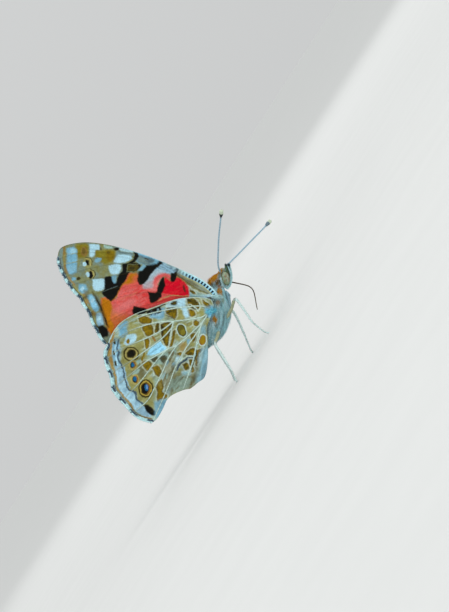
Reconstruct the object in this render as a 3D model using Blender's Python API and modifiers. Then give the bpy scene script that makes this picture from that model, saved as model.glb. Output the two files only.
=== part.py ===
"""Painted lady butterfly at rest, wings closed over its back and proboscis out.

Lengths are in millimetres in a side plan of the animal and turn into metres on the floor.
In the plan u runs forward and v runs up along the body, seen from the right side.
The head points to +X, the right side is -Y, and the feet stand on Z = 0.
"""
import math

import bmesh
import bpy
from mathutils import Matrix, Vector
from mathutils.geometry import delaunay_2d_cdt, intersect_point_line

MM = 0.001
GAP = 0.28                      # clearance between neighbouring pieces
PLAN_TURN = math.radians(57.15)  # turns the side plan onto the floor
ROOT_HEIGHT = 10.95             # forewing root above the floor

# Wings
MEMBRANE = 0.5                  # thickness between the veins
RIDGED = 0.78                   # thickness over a vein
RIDGE_HALF = 0.34               # half width of a vein's ridge
FORE_FLAT, FORE_SPREAD, FORE_REACH = 0.57, 2.16, 5.0
HIND_FLAT, HIND_SPREAD, HIND_REACH = 1.67, 1.3, 7.0
HIND_SPREAD_REAR = 0.62         # spread of the hindwings beside the abdomen
HIND_ROOT, ROOT_DIP, ROOT_DIP_REACH = (-1.9, -2.2), 0.5, 2.6
MARGIN_STEP, VEIN_STEP, FIELD_STEP = 0.85, 1.35, 2.1

FORE_COSTA = ((-0.9, 0.9), (-2.0, 2.1), (-4.0, 3.6), (-8.0, 5.5), (-14.0, 7.95), (-20.0, 9.75),
              (-25.0, 10.55), (-28.5, 10.3), (-30.7, 9.4), (-31.35, 7.5))
FORE_MARGIN = ((-31.35, 7.5, 0.1), (-31.05, 5.9, 0.1), (-30.15, 4.1, 0.15), (-29.1, 2.35, 0.2),
               (-27.0, -0.1, 0.2), (-25.4, -2.8, 0.2), (-24.0, -6.1, 0.2), (-22.3, -8.8, 0.0))
FORE_INNER = ((-22.3, -8.8), (-18.0, -8.1), (-12.0, -5.6), (-7.0, -2.6), (-4.2, -0.75),
              (-2.4, 0.4), (-0.9, 0.3))
FORE_VEINS = {
    "subcosta": ((-1.7, 1.3), (-5.0, 3.5), (-9.0, 5.35), (-12.6, 7.0)),
    "radius": ((-1.5, 0.75), (-4.0, 2.1), (-7.0, 3.6), (-10.0, 5.0), (-13.0, 6.2), (-16.2, 7.1)),
    "radial_1": ((-10.6, 5.3), (-13.6, 7.0), (-17.0, 8.6)),
    "radial_2": ((-13.8, 6.5), (-17.2, 8.0), (-20.8, 9.6)),
    "radial_3": ((-19.5, 7.9), (-24.0, 9.2), (-28.3, 10.0)),
    "radial_4": ((-22.5, 8.7), (-27.0, 8.6), (-31.1, 7.5)),
    "radial_5": ((-16.2, 7.1), (-19.5, 7.9), (-26.2, 7.3), (-30.8, 5.9)),
    "median_1": ((-16.4, 6.3), (-20.3, 6.55), (-25.9, 5.5), (-29.9, 4.1)),
    "median_2": ((-16.2, 4.9), (-20.2, 4.3), (-25.2, 3.5), (-28.9, 2.35)),
    "median_3": ((-15.5, 2.6), (-19.6, 1.95), (-23.5, 1.1), (-26.8, -0.05)),
    "cubitus": ((-1.6, 0.45), (-4.0, 0.3), (-7.0, 0.3), (-9.5, 0.4), (-12.0, 1.0), (-15.5, 2.6)),
    "cell_end": ((-16.2, 7.1), (-16.4, 6.3), (-16.2, 4.9), (-15.5, 2.6)),
    "cubital_1": ((-13.0, 1.35), (-17.0, 0.75), (-21.0, -0.3), (-25.2, -2.75)),
    "cubital_2": ((-9.5, 0.4), (-12.0, -0.6), (-16.5, -1.9), (-20.6, -3.8), (-23.8, -6.0)),
    "anal": ((-3.6, 0.0), (-7.0, -1.4), (-12.0, -4.1), (-17.0, -6.5), (-22.1, -8.5)),
}
HIND_COSTA = ((-1.55, -1.4), (-2.1, -0.3), (-4.0, 0.15), (-7.0, 0.05), (-9.5, -0.45), (-13.0, -1.75),
              (-16.5, -3.0), (-19.3, -4.7), (-20.9, -6.8), (-21.85, -9.0))
HIND_MARGIN = ((-21.85, -9.0, 0.35), (-22.35, -11.9, 0.15), (-21.45, -14.4, -0.1),
               (-21.0, -17.4, 0.08), (-19.2, -19.7, 0.0), (-17.1, -22.1, 0.35), (-13.3, -23.75, 0.0))
HIND_INNER = ((-13.3, -23.75), (-12.3, -22.9), (-11.2, -21.0), (-10.4, -19.3), (-9.2, -18.3),
              (-7.2, -17.45), (-6.0, -17.2), (-4.6, -16.1), (-3.3, -15.0), (-2.75, -12.5),
              (-2.65, -9.0), (-2.85, -5.6), (-2.05, -3.4), (-1.55, -1.4))
HIND_VEINS = {
    "subcosta": ((-2.3, -1.9), (-4.2, -1.5), (-7.5, -1.75), (-10.8, -2.3), (-14.8, -3.3),
                 (-18.0, -4.8), (-20.8, -7.1)),
    "radial": ((-2.3, -1.9), (-3.6, -3.5), (-6.6, -4.1), (-9.2, -4.4), (-12.0, -4.6), (-15.0, -5.3),
               (-18.0, -6.5), (-21.6, -9.0)),
    "median_1": ((-9.2, -4.4), (-11.4, -6.1), (-14.3, -7.6), (-17.6, -8.95), (-20.2, -10.2),
                 (-22.1, -11.8)),
    "median_2": ((-9.5, -5.6), (-10.7, -7.0), (-12.4, -8.5), (-14.8, -10.2), (-17.2, -11.9),
                 (-21.2, -14.3)),
    "cell_end": ((-9.2, -4.4), (-9.5, -5.6), (-9.9, -8.0), (-10.2, -9.6)),
    "median_3": ((-10.2, -9.6), (-12.4, -10.9), (-14.6, -12.2), (-16.9, -14.1), (-20.8, -17.3)),
    "cubital_1": ((-2.3, -1.9), (-3.4, -4.1), (-6.0, -6.8), (-8.6, -9.0), (-10.2, -9.6),
                  (-12.0, -11.4), (-13.6, -13.4), (-15.7, -16.1), (-19.0, -19.5)),
    "cubital_2": ((-8.6, -9.0), (-10.2, -11.4), (-11.3, -14.0), (-12.7, -16.8), (-14.1, -19.4),
                  (-16.9, -21.9)),
    "anal_1": ((-3.4, -4.1), (-4.8, -6.6), (-6.5, -9.0), (-7.7, -10.9), (-9.0, -13.5), (-10.3, -17.0),
               (-13.1, -23.4)),
    "anal_2": ((-4.0, -5.3), (-4.6, -7.6), (-5.1, -10.0), (-5.8, -12.8), (-6.5, -14.8), (-7.3, -17.1)),
}

# Body: each station is u, v, radius in the plan and half width
THORAX = ((-0.95, 3.95, 0.5, 0.6), (-1.05, 3.7, 0.95, 1.0), (-1.2, 3.2, 1.45, 1.35),
          (-1.28, 2.4, 1.9, 1.68), (-1.3, 1.1, 2.28, 1.88), (-1.15, -0.9, 2.6, 1.95),
          (-0.95, -2.9, 2.62, 1.95), (-1.1, -4.9, 2.3, 1.85), (-1.55, -6.7, 1.8, 1.6),
          (-2.0, -7.9, 1.2, 1.15), (-2.3, -8.6, 0.5, 0.5))
ABDOMEN_PATH = ((-2.3, -6.3), (-3.3, -8.1), (-4.6, -10.1), (-5.9, -12.2), (-7.1, -14.3), (-8.2, -16.5))
ABDOMEN_RADIUS = (1.25, 1.45, 1.5, 1.35, 0.95, 0.28)
ABDOMEN_RINGS, RING_SWELL = 9, 0.05
BODY_AXIS = ((-0.9, 4.3), (-1.1, 1.0), (-1.0, -2.0), (-1.4, -5.5), (-2.6, -7.4), (-5.2, -11.1),
             (-8.2, -16.5))
HEAD_CENTRE, HEAD_SIZE = (0.25, 4.15), (1.3, 1.5, 1.3)
EYE_CENTRE, EYE_SIZE, EYE_SIDE = (0.72, 3.75), (0.78, 1.4, 0.8), 1.0
EYE_LEAN = math.radians(12.0)

# Palps, proboscis, antennae and legs: points are u, v, side
PALPS = {
    "palp_R": ((1.0, 2.05, 0.6), (1.37, 2.6, 0.7), (1.56, 3.4, 0.78), (1.5, 4.3, 0.8),
               (1.26, 5.1, 0.78), (1.02, 5.75, 0.74), (0.88, 6.3, 0.7)),
    "palp_L": ((1.0, 2.05, 0.6), (1.37, 2.6, 0.7), (1.58, 3.4, 0.78), (1.6, 4.3, 0.8),
               (1.54, 5.1, 0.77), (1.46, 5.75, 0.73), (1.42, 6.35, 0.7)),
}
PALP_DEEP = (0.25, 0.34, 0.42, 0.42, 0.34, 0.26, 0.1)
PALP_WIDE = (0.22, 0.28, 0.32, 0.32, 0.28, 0.22, 0.1)
PROBOSCIS = ((1.35, 3.1), (3.0, 2.78), (4.3, 2.5), (5.2, 2.2), (5.8, 1.7), (6.15, 1.0), (6.35, 0.1),
             (6.6, -1.3), (6.8, -2.3))
PROBOSCIS_RADIUS = (0.26, 0.17)
ANTENNA_TIP_SIDE = 10.9
ANTENNA_ROOT_SIDE = 0.6
ANTENNAE = {
    "antenna_R": ((-0.35, 5.0), (-0.68, 6.0), (-0.78, 7.3), (-0.76, 8.8), (-0.72, 11.0), (-0.58, 13.0),
                  (-0.42, 14.7), (-0.28, 16.6)),
    "antenna_L": ((-0.05, 5.0), (1.45, 6.6), (3.2, 8.3), (4.9, 10.0), (6.55, 11.65), (8.2, 13.3),
                  (9.75, 14.95)),
}
ANTENNA_RADIUS, CLUB_RADIUS, CLUB_SHARE = 0.26, 0.5, 0.16
LEGS = {
    "foreleg_R": ((0.82, 1.4, -0.95), (1.16, 0.6, -0.98), (1.42, -0.6, -0.95), (1.6, -1.9, -0.8)),
    "foreleg_L": ((0.82, 1.4, 0.95), (1.16, 0.6, 0.98), (1.42, -0.6, 0.95), (1.6, -1.9, 0.8)),
    "midleg_R": ((0.9, -3.8, -1.0), (1.75, -2.2, -2.0), (2.45, -0.25, -3.2), (3.6, -1.45, -3.7),
                 (5.5, -4.25, -4.7), (6.4, -5.1, -5.1), (8.0, -6.35, -5.9), (9.0, -6.5, -6.4)),
    "midleg_L": ((0.9, -3.8, 1.0), (1.5, -3.0, 2.1), (2.0, -2.4, 3.3), (3.1, -4.1, 3.9),
                 (4.5, -7.2, 4.9), (5.2, -8.9, 5.3), (6.0, -10.5, 5.9), (6.7, -10.3, 6.5)),
    "hindleg_R": ((-0.6, -6.2, -1.0), (-0.9, -7.4, -2.2), (-1.3, -8.6, -3.2), (-0.5, -10.1, -3.9),
                  (1.5, -13.3, -5.0), (2.2, -14.6, -5.4), (2.75, -15.75, -5.9), (3.3, -15.5, -6.3)),
    "hindleg_L": ((-0.6, -6.2, 1.0), (-0.9, -7.4, 2.2), (-1.3, -8.6, 3.2), (-0.6, -10.2, 3.9),
                  (1.4, -13.4, 5.0), (2.1, -14.7, 5.4), (2.65, -15.9, 5.9), (3.2, -15.65, 6.3)),
}
LEG_RADIUS = {"foreleg": (0.3, 0.26), "midleg": (0.36, 0.25), "hindleg": (0.36, 0.25)}

COLOURS = {
    "wing_scales": ((0.52, 0.44, 0.3), 0.75),
    "body_hair": ((0.4, 0.45, 0.42), 0.9),
    "eye": ((0.3, 0.33, 0.2), 0.25),
    "antenna": ((0.45, 0.52, 0.58), 0.6),
    "leg": ((0.68, 0.72, 0.66), 0.6),
    "proboscis": ((0.07, 0.06, 0.07), 0.35),
}


def smooth(t):
    """Ease from 0 to 1."""
    t = min(1.0, max(0.0, t))
    return t * t * (3.0 - 2.0 * t)


def place(u, v, side=0.0):
    """Point of the animal from its side plan, in metres above the floor."""
    x = math.cos(PLAN_TURN) * u + math.sin(PLAN_TURN) * v
    z = math.cos(PLAN_TURN) * v - math.sin(PLAN_TURN) * u + ROOT_HEIGHT
    return Vector((x, side, z)) * MM


def spline(points, step):
    """Smooth curve through the points, as points about one step apart."""
    pts = [Vector(p) for p in points]
    pts = [2 * pts[0] - pts[1]] + pts + [2 * pts[-1] - pts[-2]]
    curve = []
    for a, b, c, d in zip(pts, pts[1:], pts[2:], pts[3:]):
        pieces = max(1, round((c - b).length / step))
        for i in range(pieces):
            t = i / pieces
            curve.append(0.5 * (2 * b + (c - a) * t + (2 * a - 5 * b + 4 * c - d) * t * t
                                + (3 * b - a - 3 * c + d) * t ** 3))
    return curve + [pts[-2]]


def scallops(ends, step):
    """Wing margin from vein end to vein end, each stretch bowed out by its own third value."""
    line = []
    for (u0, v0, bow), (u1, v1, _) in zip(ends, ends[1:]):
        a, b = Vector((u0, v0)), Vector((u1, v1))
        out = Vector((b.y - a.y, a.x - b.x)).normalized()
        pieces = max(2, round((b - a).length / step))
        for i in range(pieces):
            t = i / pieces
            line.append(a.lerp(b, t) + out * bow * math.sin(math.pi * t))
    return line


def axis_distance(u, v):
    """Distance to the body's axis, and how far along it from the neck that is, 0 to 1."""
    point = Vector((u, v, 0.0))
    best = (1e9, 0.0)
    runs = list(zip(BODY_AXIS, BODY_AXIS[1:]))
    for i, (a, b) in enumerate(runs):
        a, b = Vector((*a, 0.0)), Vector((*b, 0.0))
        foot, t = intersect_point_line(point, a, b)
        t = min(1.0, max(0.0, t))
        best = min(best, ((point - a.lerp(b, t)).length, (i + t) / len(runs)))
    return best


def fore_spread(u, v):
    """Forewing's distance from the animal's middle plane."""
    distance, _ = axis_distance(u, v)
    return FORE_FLAT + FORE_SPREAD * (1.0 - smooth(distance / FORE_REACH))


def hind_spread(u, v):
    """Hindwing's distance from the middle plane: over the forewing, then over the body."""
    distance, along = axis_distance(u, v)
    spread = HIND_SPREAD + (HIND_SPREAD_REAR - HIND_SPREAD) * smooth((along - 0.5) / 0.25)
    dip = 1.0 - smooth(math.dist((u, v), HIND_ROOT) / ROOT_DIP_REACH)
    return HIND_FLAT + spread * (1.0 - smooth((distance - 1.5) / (HIND_REACH - 1.5))) - ROOT_DIP * dip


def material(slot):
    """The slot's material."""
    found = bpy.data.materials.get(slot)
    if found:
        return found
    colour, roughness = COLOURS[slot]
    made = bpy.data.materials.new(slot)
    made.use_nodes = True
    shader = made.node_tree.nodes["Principled BSDF"]
    shader.inputs["Base Color"].default_value = (*colour, 1.0)
    shader.inputs["Roughness"].default_value = roughness
    return made


def add_object(name, mesh, slot, collection):
    """Named object of the butterfly from a mesh."""
    mesh.materials.clear()
    mesh.materials.append(material(slot))
    obj = bpy.data.objects.new(name, mesh)
    collection.objects.link(obj)
    return obj


def inside(point, outline):
    """Whether a plan point lies within the outline."""
    hit = False
    for a, b in zip(outline, outline[1:] + outline[:1]):
        if (a.y > point.y) != (b.y > point.y):
            if point.x < a.x + (point.y - a.y) * (b.x - a.x) / (b.y - a.y):
                hit = not hit
    return hit


def wing_points(outline, veins):
    """Plan points of a wing: margin, vein crests, the feet of their ridges, and the fields."""
    points = list(outline)
    crests = []
    lines = [spline(line, VEIN_STEP) for line in veins.values()]
    for line in lines:
        for p in line:
            if inside(p, outline) and min((p - q).length for q in points) > 0.3:
                points.append(p)
                crests.append(len(points) - 1)
    for line in lines:
        for a, b in zip(line, line[1:]):
            across = Vector((a.y - b.y, b.x - a.x)).normalized() * RIDGE_HALF
            for foot in (a.lerp(b, 0.5) + across, a.lerp(b, 0.5) - across):
                if inside(foot, outline) and min((foot - q).length for q in points) > 0.26:
                    points.append(foot)
    low = Vector((min(p.x for p in outline), min(p.y for p in outline)))
    high = Vector((max(p.x for p in outline), max(p.y for p in outline)))
    for row in range(int((high.y - low.y) / FIELD_STEP) + 1):
        for column in range(int((high.x - low.x) / FIELD_STEP) + 1):
            p = low + Vector((column + 0.5 * (row % 2), row)) * FIELD_STEP
            if inside(p, outline) and min((p - q).length for q in points) > 0.75:
                points.append(p)
    return points, crests


def wing(name, outline, veins, spread, side, collection):
    """Wing as one bent sheet whose veins stand up as ridges on both faces."""
    points, crests = wing_points(outline, veins)
    ring = [list(range(len(outline)))]
    flat, _, faces, origin, _, _ = delaunay_2d_cdt(points, [], ring, 1, 1e-4)
    mesh = bpy.data.meshes.new(name)
    corners = [place(p.x, p.y, side * spread(p.x, p.y)) for p in flat]
    faces = [tuple(f) if side < 0 else tuple(reversed(f)) for f in faces]
    mesh.from_pydata([tuple(c) for c in corners], [], faces)
    obj = add_object(name, mesh, "wing_scales", collection)
    ridge = obj.vertex_groups.new(name="vein")
    crest = set(crests)
    for i, sources in enumerate(origin):
        ridge.add([i], 1.0 if crest & set(sources) else 0.0, "REPLACE")
    shell = obj.modifiers.new("Membrane", "SOLIDIFY")
    shell.thickness = RIDGED * MM
    shell.offset = 0.0
    shell.vertex_group = ridge.name
    shell.thickness_vertex_group = MEMBRANE / RIDGED
    return obj


def loft(name, path, radii, widths, sides):
    """Closed mesh swept along a path of u, v, side, from radii in the plan and half widths."""
    bm = bmesh.new()
    rings = []
    for i, (u, v, side) in enumerate(path):
        before, after = Vector(path[max(0, i - 1)]), Vector(path[min(len(path) - 1, i + 1)])
        along = (after - before).normalized()
        across = Vector((-along.y, along.x, 0.0)).normalized()
        out = along.cross(across)
        ring = []
        for k in range(sides):
            angle = 2.0 * math.pi * k / sides
            p = (Vector((u, v, side)) + across * radii[i] * math.cos(angle)
                 + out * widths[i] * math.sin(angle))
            ring.append(bm.verts.new(place(*p)))
        rings.append(ring)
    for a, b in zip(rings, rings[1:]):
        for k in range(sides):
            bm.faces.new((a[k], a[(k + 1) % sides], b[(k + 1) % sides], b[k]))
    bm.faces.new(rings[0])
    bm.faces.new(rings[-1])
    return closed_mesh(name, bm)


def turn_outward(bm):
    """Turn the faces of a closed form outward."""
    bmesh.ops.recalc_face_normals(bm, faces=bm.faces)
    if bm.calc_volume(signed=True) < 0.0:
        bmesh.ops.reverse_faces(bm, faces=bm.faces)


def closed_mesh(name, bm):
    """Mesh from a bmesh, with its faces turned outward and shaded smooth."""
    turn_outward(bm)
    mesh = bpy.data.meshes.new(name)
    bm.to_mesh(mesh)
    bm.free()
    mesh.shade_smooth()
    return mesh


def thorax_mesh(name, grow=0.0):
    """Thorax, or the same form swollen by the clearance for cutting its neighbours."""
    stations = spline(THORAX, 0.9)
    path = [Vector((s[0], s[1], 0.0)) for s in stations]
    path[0] += (path[0] - path[1]).normalized() * grow
    path[-1] += (path[-1] - path[-2]).normalized() * grow
    return loft(name, path, [s[2] + grow for s in stations], [s[3] + grow for s in stations], 28)


def abdomen_mesh(name):
    """Abdomen, each ring of it a little swollen in its middle."""
    stations = spline([(*p, r) for p, r in zip(ABDOMEN_PATH, ABDOMEN_RADIUS)], 0.42)
    count = len(stations) - 1
    swell = [1.0 + RING_SWELL * abs(math.sin(math.pi * ABDOMEN_RINGS * i / count))
             for i in range(count + 1)]
    radii = [s[2] * w for s, w in zip(stations, swell)]
    return loft(name, [(s[0], s[1], 0.0) for s in stations], radii, radii, 20)


def ball_mesh(name, centre, size, side, lean, grow=0.0):
    """Ellipsoid about a plan point, its long way leaning from v by the angle."""
    bm = bmesh.new()
    bmesh.ops.create_uvsphere(bm, u_segments=24, v_segments=14, radius=1.0)
    turn = Matrix.Rotation(lean, 3, "Z")
    for vert in bm.verts:
        p = Vector((vert.co.x * (size[0] + grow), vert.co.y * (size[1] + grow), 0.0))
        p = turn @ p
        vert.co = place(centre[0] + p.x, centre[1] + p.y, side + vert.co.z * (size[2] + grow))
    return closed_mesh(name, bm)


def tube_mesh(name, points, radii, collection):
    """Tapered round tube along the points, as a mesh with welded ends."""
    curve = bpy.data.curves.new(name + "_line", "CURVE")
    curve.dimensions = "3D"
    curve.bevel_depth = MM
    curve.bevel_resolution = 2
    curve.use_fill_caps = True
    line = curve.splines.new("POLY")
    line.points.add(len(points) - 1)
    for knot, point, radius in zip(line.points, points, radii):
        knot.co = (*place(*point), 1.0)
        knot.radius = radius
    obj = bpy.data.objects.new(name + "_line", curve)
    collection.objects.link(obj)
    bpy.context.view_layer.update()
    seen = obj.evaluated_get(bpy.context.evaluated_depsgraph_get())
    mesh = bpy.data.meshes.new_from_object(seen)
    bpy.data.objects.remove(obj)
    bm = bmesh.new()
    bm.from_mesh(mesh)
    bmesh.ops.remove_doubles(bm, verts=bm.verts, dist=1e-6)
    return closed_mesh(name, bm)


def cut(obj, cutter_mesh, cutters):
    """Take a cutter's form out of an object for good."""
    cutter = bpy.data.objects.new(obj.name + "_cutter", cutter_mesh)
    cutters.objects.link(cutter)
    cutter.hide_render = True
    cutter.display_type = "WIRE"
    modifier = obj.modifiers.new("Clearance", "BOOLEAN")
    modifier.object = cutter
    modifier.operation = "DIFFERENCE"
    bpy.context.view_layer.update()
    seen = obj.evaluated_get(bpy.context.evaluated_depsgraph_get())
    mesh = bpy.data.meshes.new_from_object(seen)
    obj.modifiers.clear()
    obj.data = mesh
    bpy.data.objects.remove(cutter)
    keep_largest(mesh)


def keep_largest(mesh):
    """Drop every closed surface of a mesh but its largest."""
    bm = bmesh.new()
    bm.from_mesh(mesh)
    groups, left = [], set(bm.faces)
    while left:
        stack, group = [left.pop()], set()
        while stack:
            face = stack.pop()
            group.add(face)
            for edge in face.edges:
                for other in edge.link_faces:
                    if other in left:
                        left.discard(other)
                        stack.append(other)
        groups.append(group)
    groups.sort(key=lambda g: sum(f.calc_area() for f in g))
    spare = [f for g in groups[:-1] for f in g]
    bmesh.ops.delete(bm, geom=spare, context="FACES")
    bm.to_mesh(mesh)
    bm.free()


def stand_on_floor(mesh):
    """Slice a leg level with the floor, which leaves a small flat under its foot."""
    bm = bmesh.new()
    bm.from_mesh(mesh)
    geometry = bm.verts[:] + bm.edges[:] + bm.faces[:]
    bmesh.ops.bisect_plane(bm, geom=geometry, dist=1e-7, plane_co=(0, 0, 0), plane_no=(0, 0, 1),
                           clear_inner=True)
    rim = [e for e in bm.edges if e.is_boundary]
    bmesh.ops.contextual_create(bm, geom=rim)
    turn_outward(bm)
    bm.to_mesh(mesh)
    bm.free()


def wings(collection):
    """The four wings, the hindwings outside the forewings."""
    fore = (spline(FORE_COSTA, MARGIN_STEP)[:-1] + scallops(FORE_MARGIN, MARGIN_STEP)
            + spline(FORE_INNER, 1.6 * MARGIN_STEP)[:-1])
    hind = (spline(HIND_COSTA, MARGIN_STEP)[:-1] + scallops(HIND_MARGIN, MARGIN_STEP)
            + spline(HIND_INNER, MARGIN_STEP)[:-1])
    for letter, side in (("R", -1), ("L", 1)):
        wing("forewing_" + letter, fore, FORE_VEINS, fore_spread, side, collection)
        wing("hindwing_" + letter, hind, HIND_VEINS, hind_spread, side, collection)


def body(collection, cutters):
    """Thorax, abdomen, head and eyes, parted by thin cuts."""
    add_object("thorax", thorax_mesh("thorax"), "body_hair", collection)
    abdomen = add_object("abdomen", abdomen_mesh("abdomen"), "body_hair", collection)
    cut(abdomen, thorax_mesh("thorax_room", GAP), cutters)
    head = add_object("head", ball_mesh("head", HEAD_CENTRE, HEAD_SIZE, 0.0, EYE_LEAN), "body_hair",
                      collection)
    cut(head, thorax_mesh("thorax_room", GAP), cutters)
    for letter, side in (("R", -EYE_SIDE), ("L", EYE_SIDE)):
        add_object("eye_" + letter, ball_mesh("eye", EYE_CENTRE, EYE_SIZE, side, EYE_LEAN), "eye",
                   collection)
        cut(head, ball_mesh("eye_room", EYE_CENTRE, EYE_SIZE, side, EYE_LEAN, GAP), cutters)


def mouth(collection, cutters):
    """Palps in front of the face and the proboscis between them."""
    for name, route in PALPS.items():
        sign = -1 if name.endswith("R") else 1
        rows = spline([(u, v, sign * s, d, w)
                       for (u, v, s), d, w in zip(route, PALP_DEEP, PALP_WIDE)], 0.45)
        mesh = loft("palp", [tuple(r[:3]) for r in rows], [r[3] for r in rows], [r[4] for r in rows], 12)
        palp = add_object(name, mesh, "body_hair", collection)
        clear_of_head(palp, cutters)
    rows = spline([(u, v, 0.0) for u, v in PROBOSCIS], 0.6)
    root, tip = PROBOSCIS_RADIUS
    radii = [root + (tip - root) * i / (len(rows) - 1) for i in range(len(rows))]
    proboscis = add_object("proboscis", tube_mesh("proboscis", rows, radii, cutters), "proboscis",
                           collection)
    clear_of_head(proboscis, cutters)


def clear_of_head(obj, cutters):
    """Keep the clearance to the head, the eyes and the thorax."""
    cut(obj, ball_mesh("head_room", HEAD_CENTRE, HEAD_SIZE, 0.0, EYE_LEAN, GAP), cutters)
    for side in (-EYE_SIDE, EYE_SIDE):
        cut(obj, ball_mesh("eye_room", EYE_CENTRE, EYE_SIZE, side, EYE_LEAN, GAP), cutters)
    cut(obj, thorax_mesh("thorax_room", GAP), cutters)


def antennae(collection, cutters):
    """Antennae held apart in a V, each swelling into its club."""
    for name, route in ANTENNAE.items():
        sign = -1 if name.endswith("R") else 1
        plan = spline(route, 0.75)
        steps = [math.dist(a, b) for a, b in zip(plan, plan[1:])]
        reach = ANTENNA_TIP_SIDE - ANTENNA_ROOT_SIDE
        rows = [(u, v, sign * (ANTENNA_ROOT_SIDE + reach * sum(steps[:i]) / sum(steps)))
                for i, (u, v) in enumerate(plan)]
        radii = []
        for i in range(len(rows)):
            club = smooth((i / (len(rows) - 1) - 1.0 + CLUB_SHARE) / (0.6 * CLUB_SHARE))
            radii.append(ANTENNA_RADIUS + (CLUB_RADIUS - ANTENNA_RADIUS) * club)
        radii[-1] = 0.22
        antenna = add_object(name, tube_mesh(name, rows, radii, cutters), "antenna", collection)
        clear_of_head(antenna, cutters)


def legs(collection, cutters):
    """Short folded forelegs, and four walking legs that stand on the floor."""
    for name, route in LEGS.items():
        rows = spline(route, 0.8)
        thick, thin = LEG_RADIUS[name.split("_")[0]]
        radii = [thick + (thin - thick) * smooth(2.0 * i / (len(rows) - 1)) for i in range(len(rows))]
        leg = add_object(name, tube_mesh(name, rows, radii, cutters), "leg", collection)
        cut(leg, thorax_mesh("thorax_room", GAP), cutters)
        if not name.startswith("foreleg"):
            stand_on_floor(leg.data)


def centre_on_floor(collection):
    """Hang the pieces on an empty and put the origin under the middle of the whole."""
    root = bpy.data.objects.new("butterfly", None)
    collection.objects.link(root)
    bpy.context.view_layer.update()
    graph = bpy.context.evaluated_depsgraph_get()
    corners = []
    for obj in collection.objects:
        if obj.type == "MESH":
            obj.parent = root
            corners += [v.co.copy() for v in obj.evaluated_get(graph).data.vertices]
    for axis in (0, 1):
        values = [c[axis] for c in corners]
        root.location[axis] = -0.5 * (min(values) + max(values))


def main():
    for obj in list(bpy.data.objects):
        bpy.data.objects.remove(obj)
    collection = bpy.data.collections.new("painted_lady")
    cutters = bpy.data.collections.new("cutters")
    bpy.context.scene.collection.children.link(collection)
    bpy.context.scene.collection.children.link(cutters)
    wings(collection)
    body(collection, cutters)
    mouth(collection, cutters)
    antennae(collection, cutters)
    legs(collection, cutters)
    centre_on_floor(collection)


main()
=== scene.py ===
"""Painted lady butterfly on a plain studio floor: wings, coat, eyes, mouth, antennae and legs.

The animal is drawn in a side plan in millimetres, where u runs forward and v runs up along the
body, seen from its right. The third plan value is the distance to its left.
"""
import math

import bpy
import numpy as np
from mathutils import Matrix, Vector
from mathutils.geometry import delaunay_2d_cdt


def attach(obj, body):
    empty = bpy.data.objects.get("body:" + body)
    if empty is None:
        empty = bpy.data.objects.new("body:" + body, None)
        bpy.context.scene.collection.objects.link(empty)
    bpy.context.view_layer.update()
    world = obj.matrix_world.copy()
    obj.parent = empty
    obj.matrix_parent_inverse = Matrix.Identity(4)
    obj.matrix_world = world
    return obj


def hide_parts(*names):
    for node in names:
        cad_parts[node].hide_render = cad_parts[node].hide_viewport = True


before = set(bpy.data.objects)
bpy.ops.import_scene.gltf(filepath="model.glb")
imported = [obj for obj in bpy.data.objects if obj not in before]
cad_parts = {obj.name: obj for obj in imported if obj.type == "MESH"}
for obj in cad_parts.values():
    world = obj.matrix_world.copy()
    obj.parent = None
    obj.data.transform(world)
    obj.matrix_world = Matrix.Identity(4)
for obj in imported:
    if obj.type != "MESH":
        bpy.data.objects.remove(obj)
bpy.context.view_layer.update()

bl_info = {
    "name": "Painted lady butterfly",
    "version": (1, 0, 0),
    "blender": (4, 5, 0),
    "location": "3D View > Sidebar > Butterfly",
    "description": "Builds the painted lady's wings, coat, eyes, mouth, antennae and legs",
    "category": "Add Mesh",
}

MM = 0.001
PLAN_TURN = math.radians(57.15)   # turns the side plan onto the floor
ROOT_HEIGHT = 10.95               # forewing root above the floor
AHEAD = 4.963                     # plan origin ahead of the middle of the whole box
RIGHT, LEFT = -1.0, 1.0
VIEW_CENTRE = (0.475, -1.52, -2.0)   # plan point in the middle of the picture
VIEW_LENGTH = 116.3               # picture's long side at the wings
CAMERA_RISE = math.radians(1.5)
SENSOR, FLOOR_RADIUS = 36.0, 6.0
HORIZON, ZENITH = (0.60, 0.61, 0.61, 1.0), (0.94, 0.95, 0.95, 1.0)
FORE_MIDDLE, HIND_MIDDLE = 0.13, -0.13   # scales' sheet off the middle of the solid wing
FULL_TURN = 2.0 * math.pi
SIDES = (("R", RIGHT), ("L", LEFT))
SKIN_SIDES, TUBE_SIDES, LIMB_SIDES, FLOOR_SIDES = 56, 20, 18, 128   # corners of round forms
EYE_ROWS, EYE_COLUMNS = 90, 120
PALP_HAIRS, TUFT_HAIRS = 1500, 1300
LEG_HAIRS, FRONT_LEG_HAIRS = 60, 260   # for each millimetre of a leg
CLAW_LENGTH, CLAW_WIDTH, CLAW_INSET = 0.34, 0.09, 0.05
COAT_SEED, PALP_SEED, HATCH_SEED, LEG_SEED, TUFT_SEED = 52, 71, 77, 81, 91
LATTICE = 64                      # points of the smooth noise before it repeats
MARK_STEP = 0.35                  # between points on the edge of a marking
ABDOMEN_START, ABDOMEN_RING = 13.5, 1.15   # along the body, and the length of one ring
UV_EDGE, UV_SPAN = 0.02, 0.95     # free edge and used part of the unwrap
WING_UV_EDGE, WING_UV_SPAN = 0.01, 0.48   # the same for each face of a wing
CLOSE_STEP = 0.055                # finer mesh beside the forewing's front edge
ANTENNA_RING = 0.42               # length of one ring of an antenna
RELIEF_DEPTH = 0.00003            # of the scales, in metres
FLOOR_COLOURS = ((0.70, 0.71, 0.70, 1.0), (0.74, 0.75, 0.74, 1.0))
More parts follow.
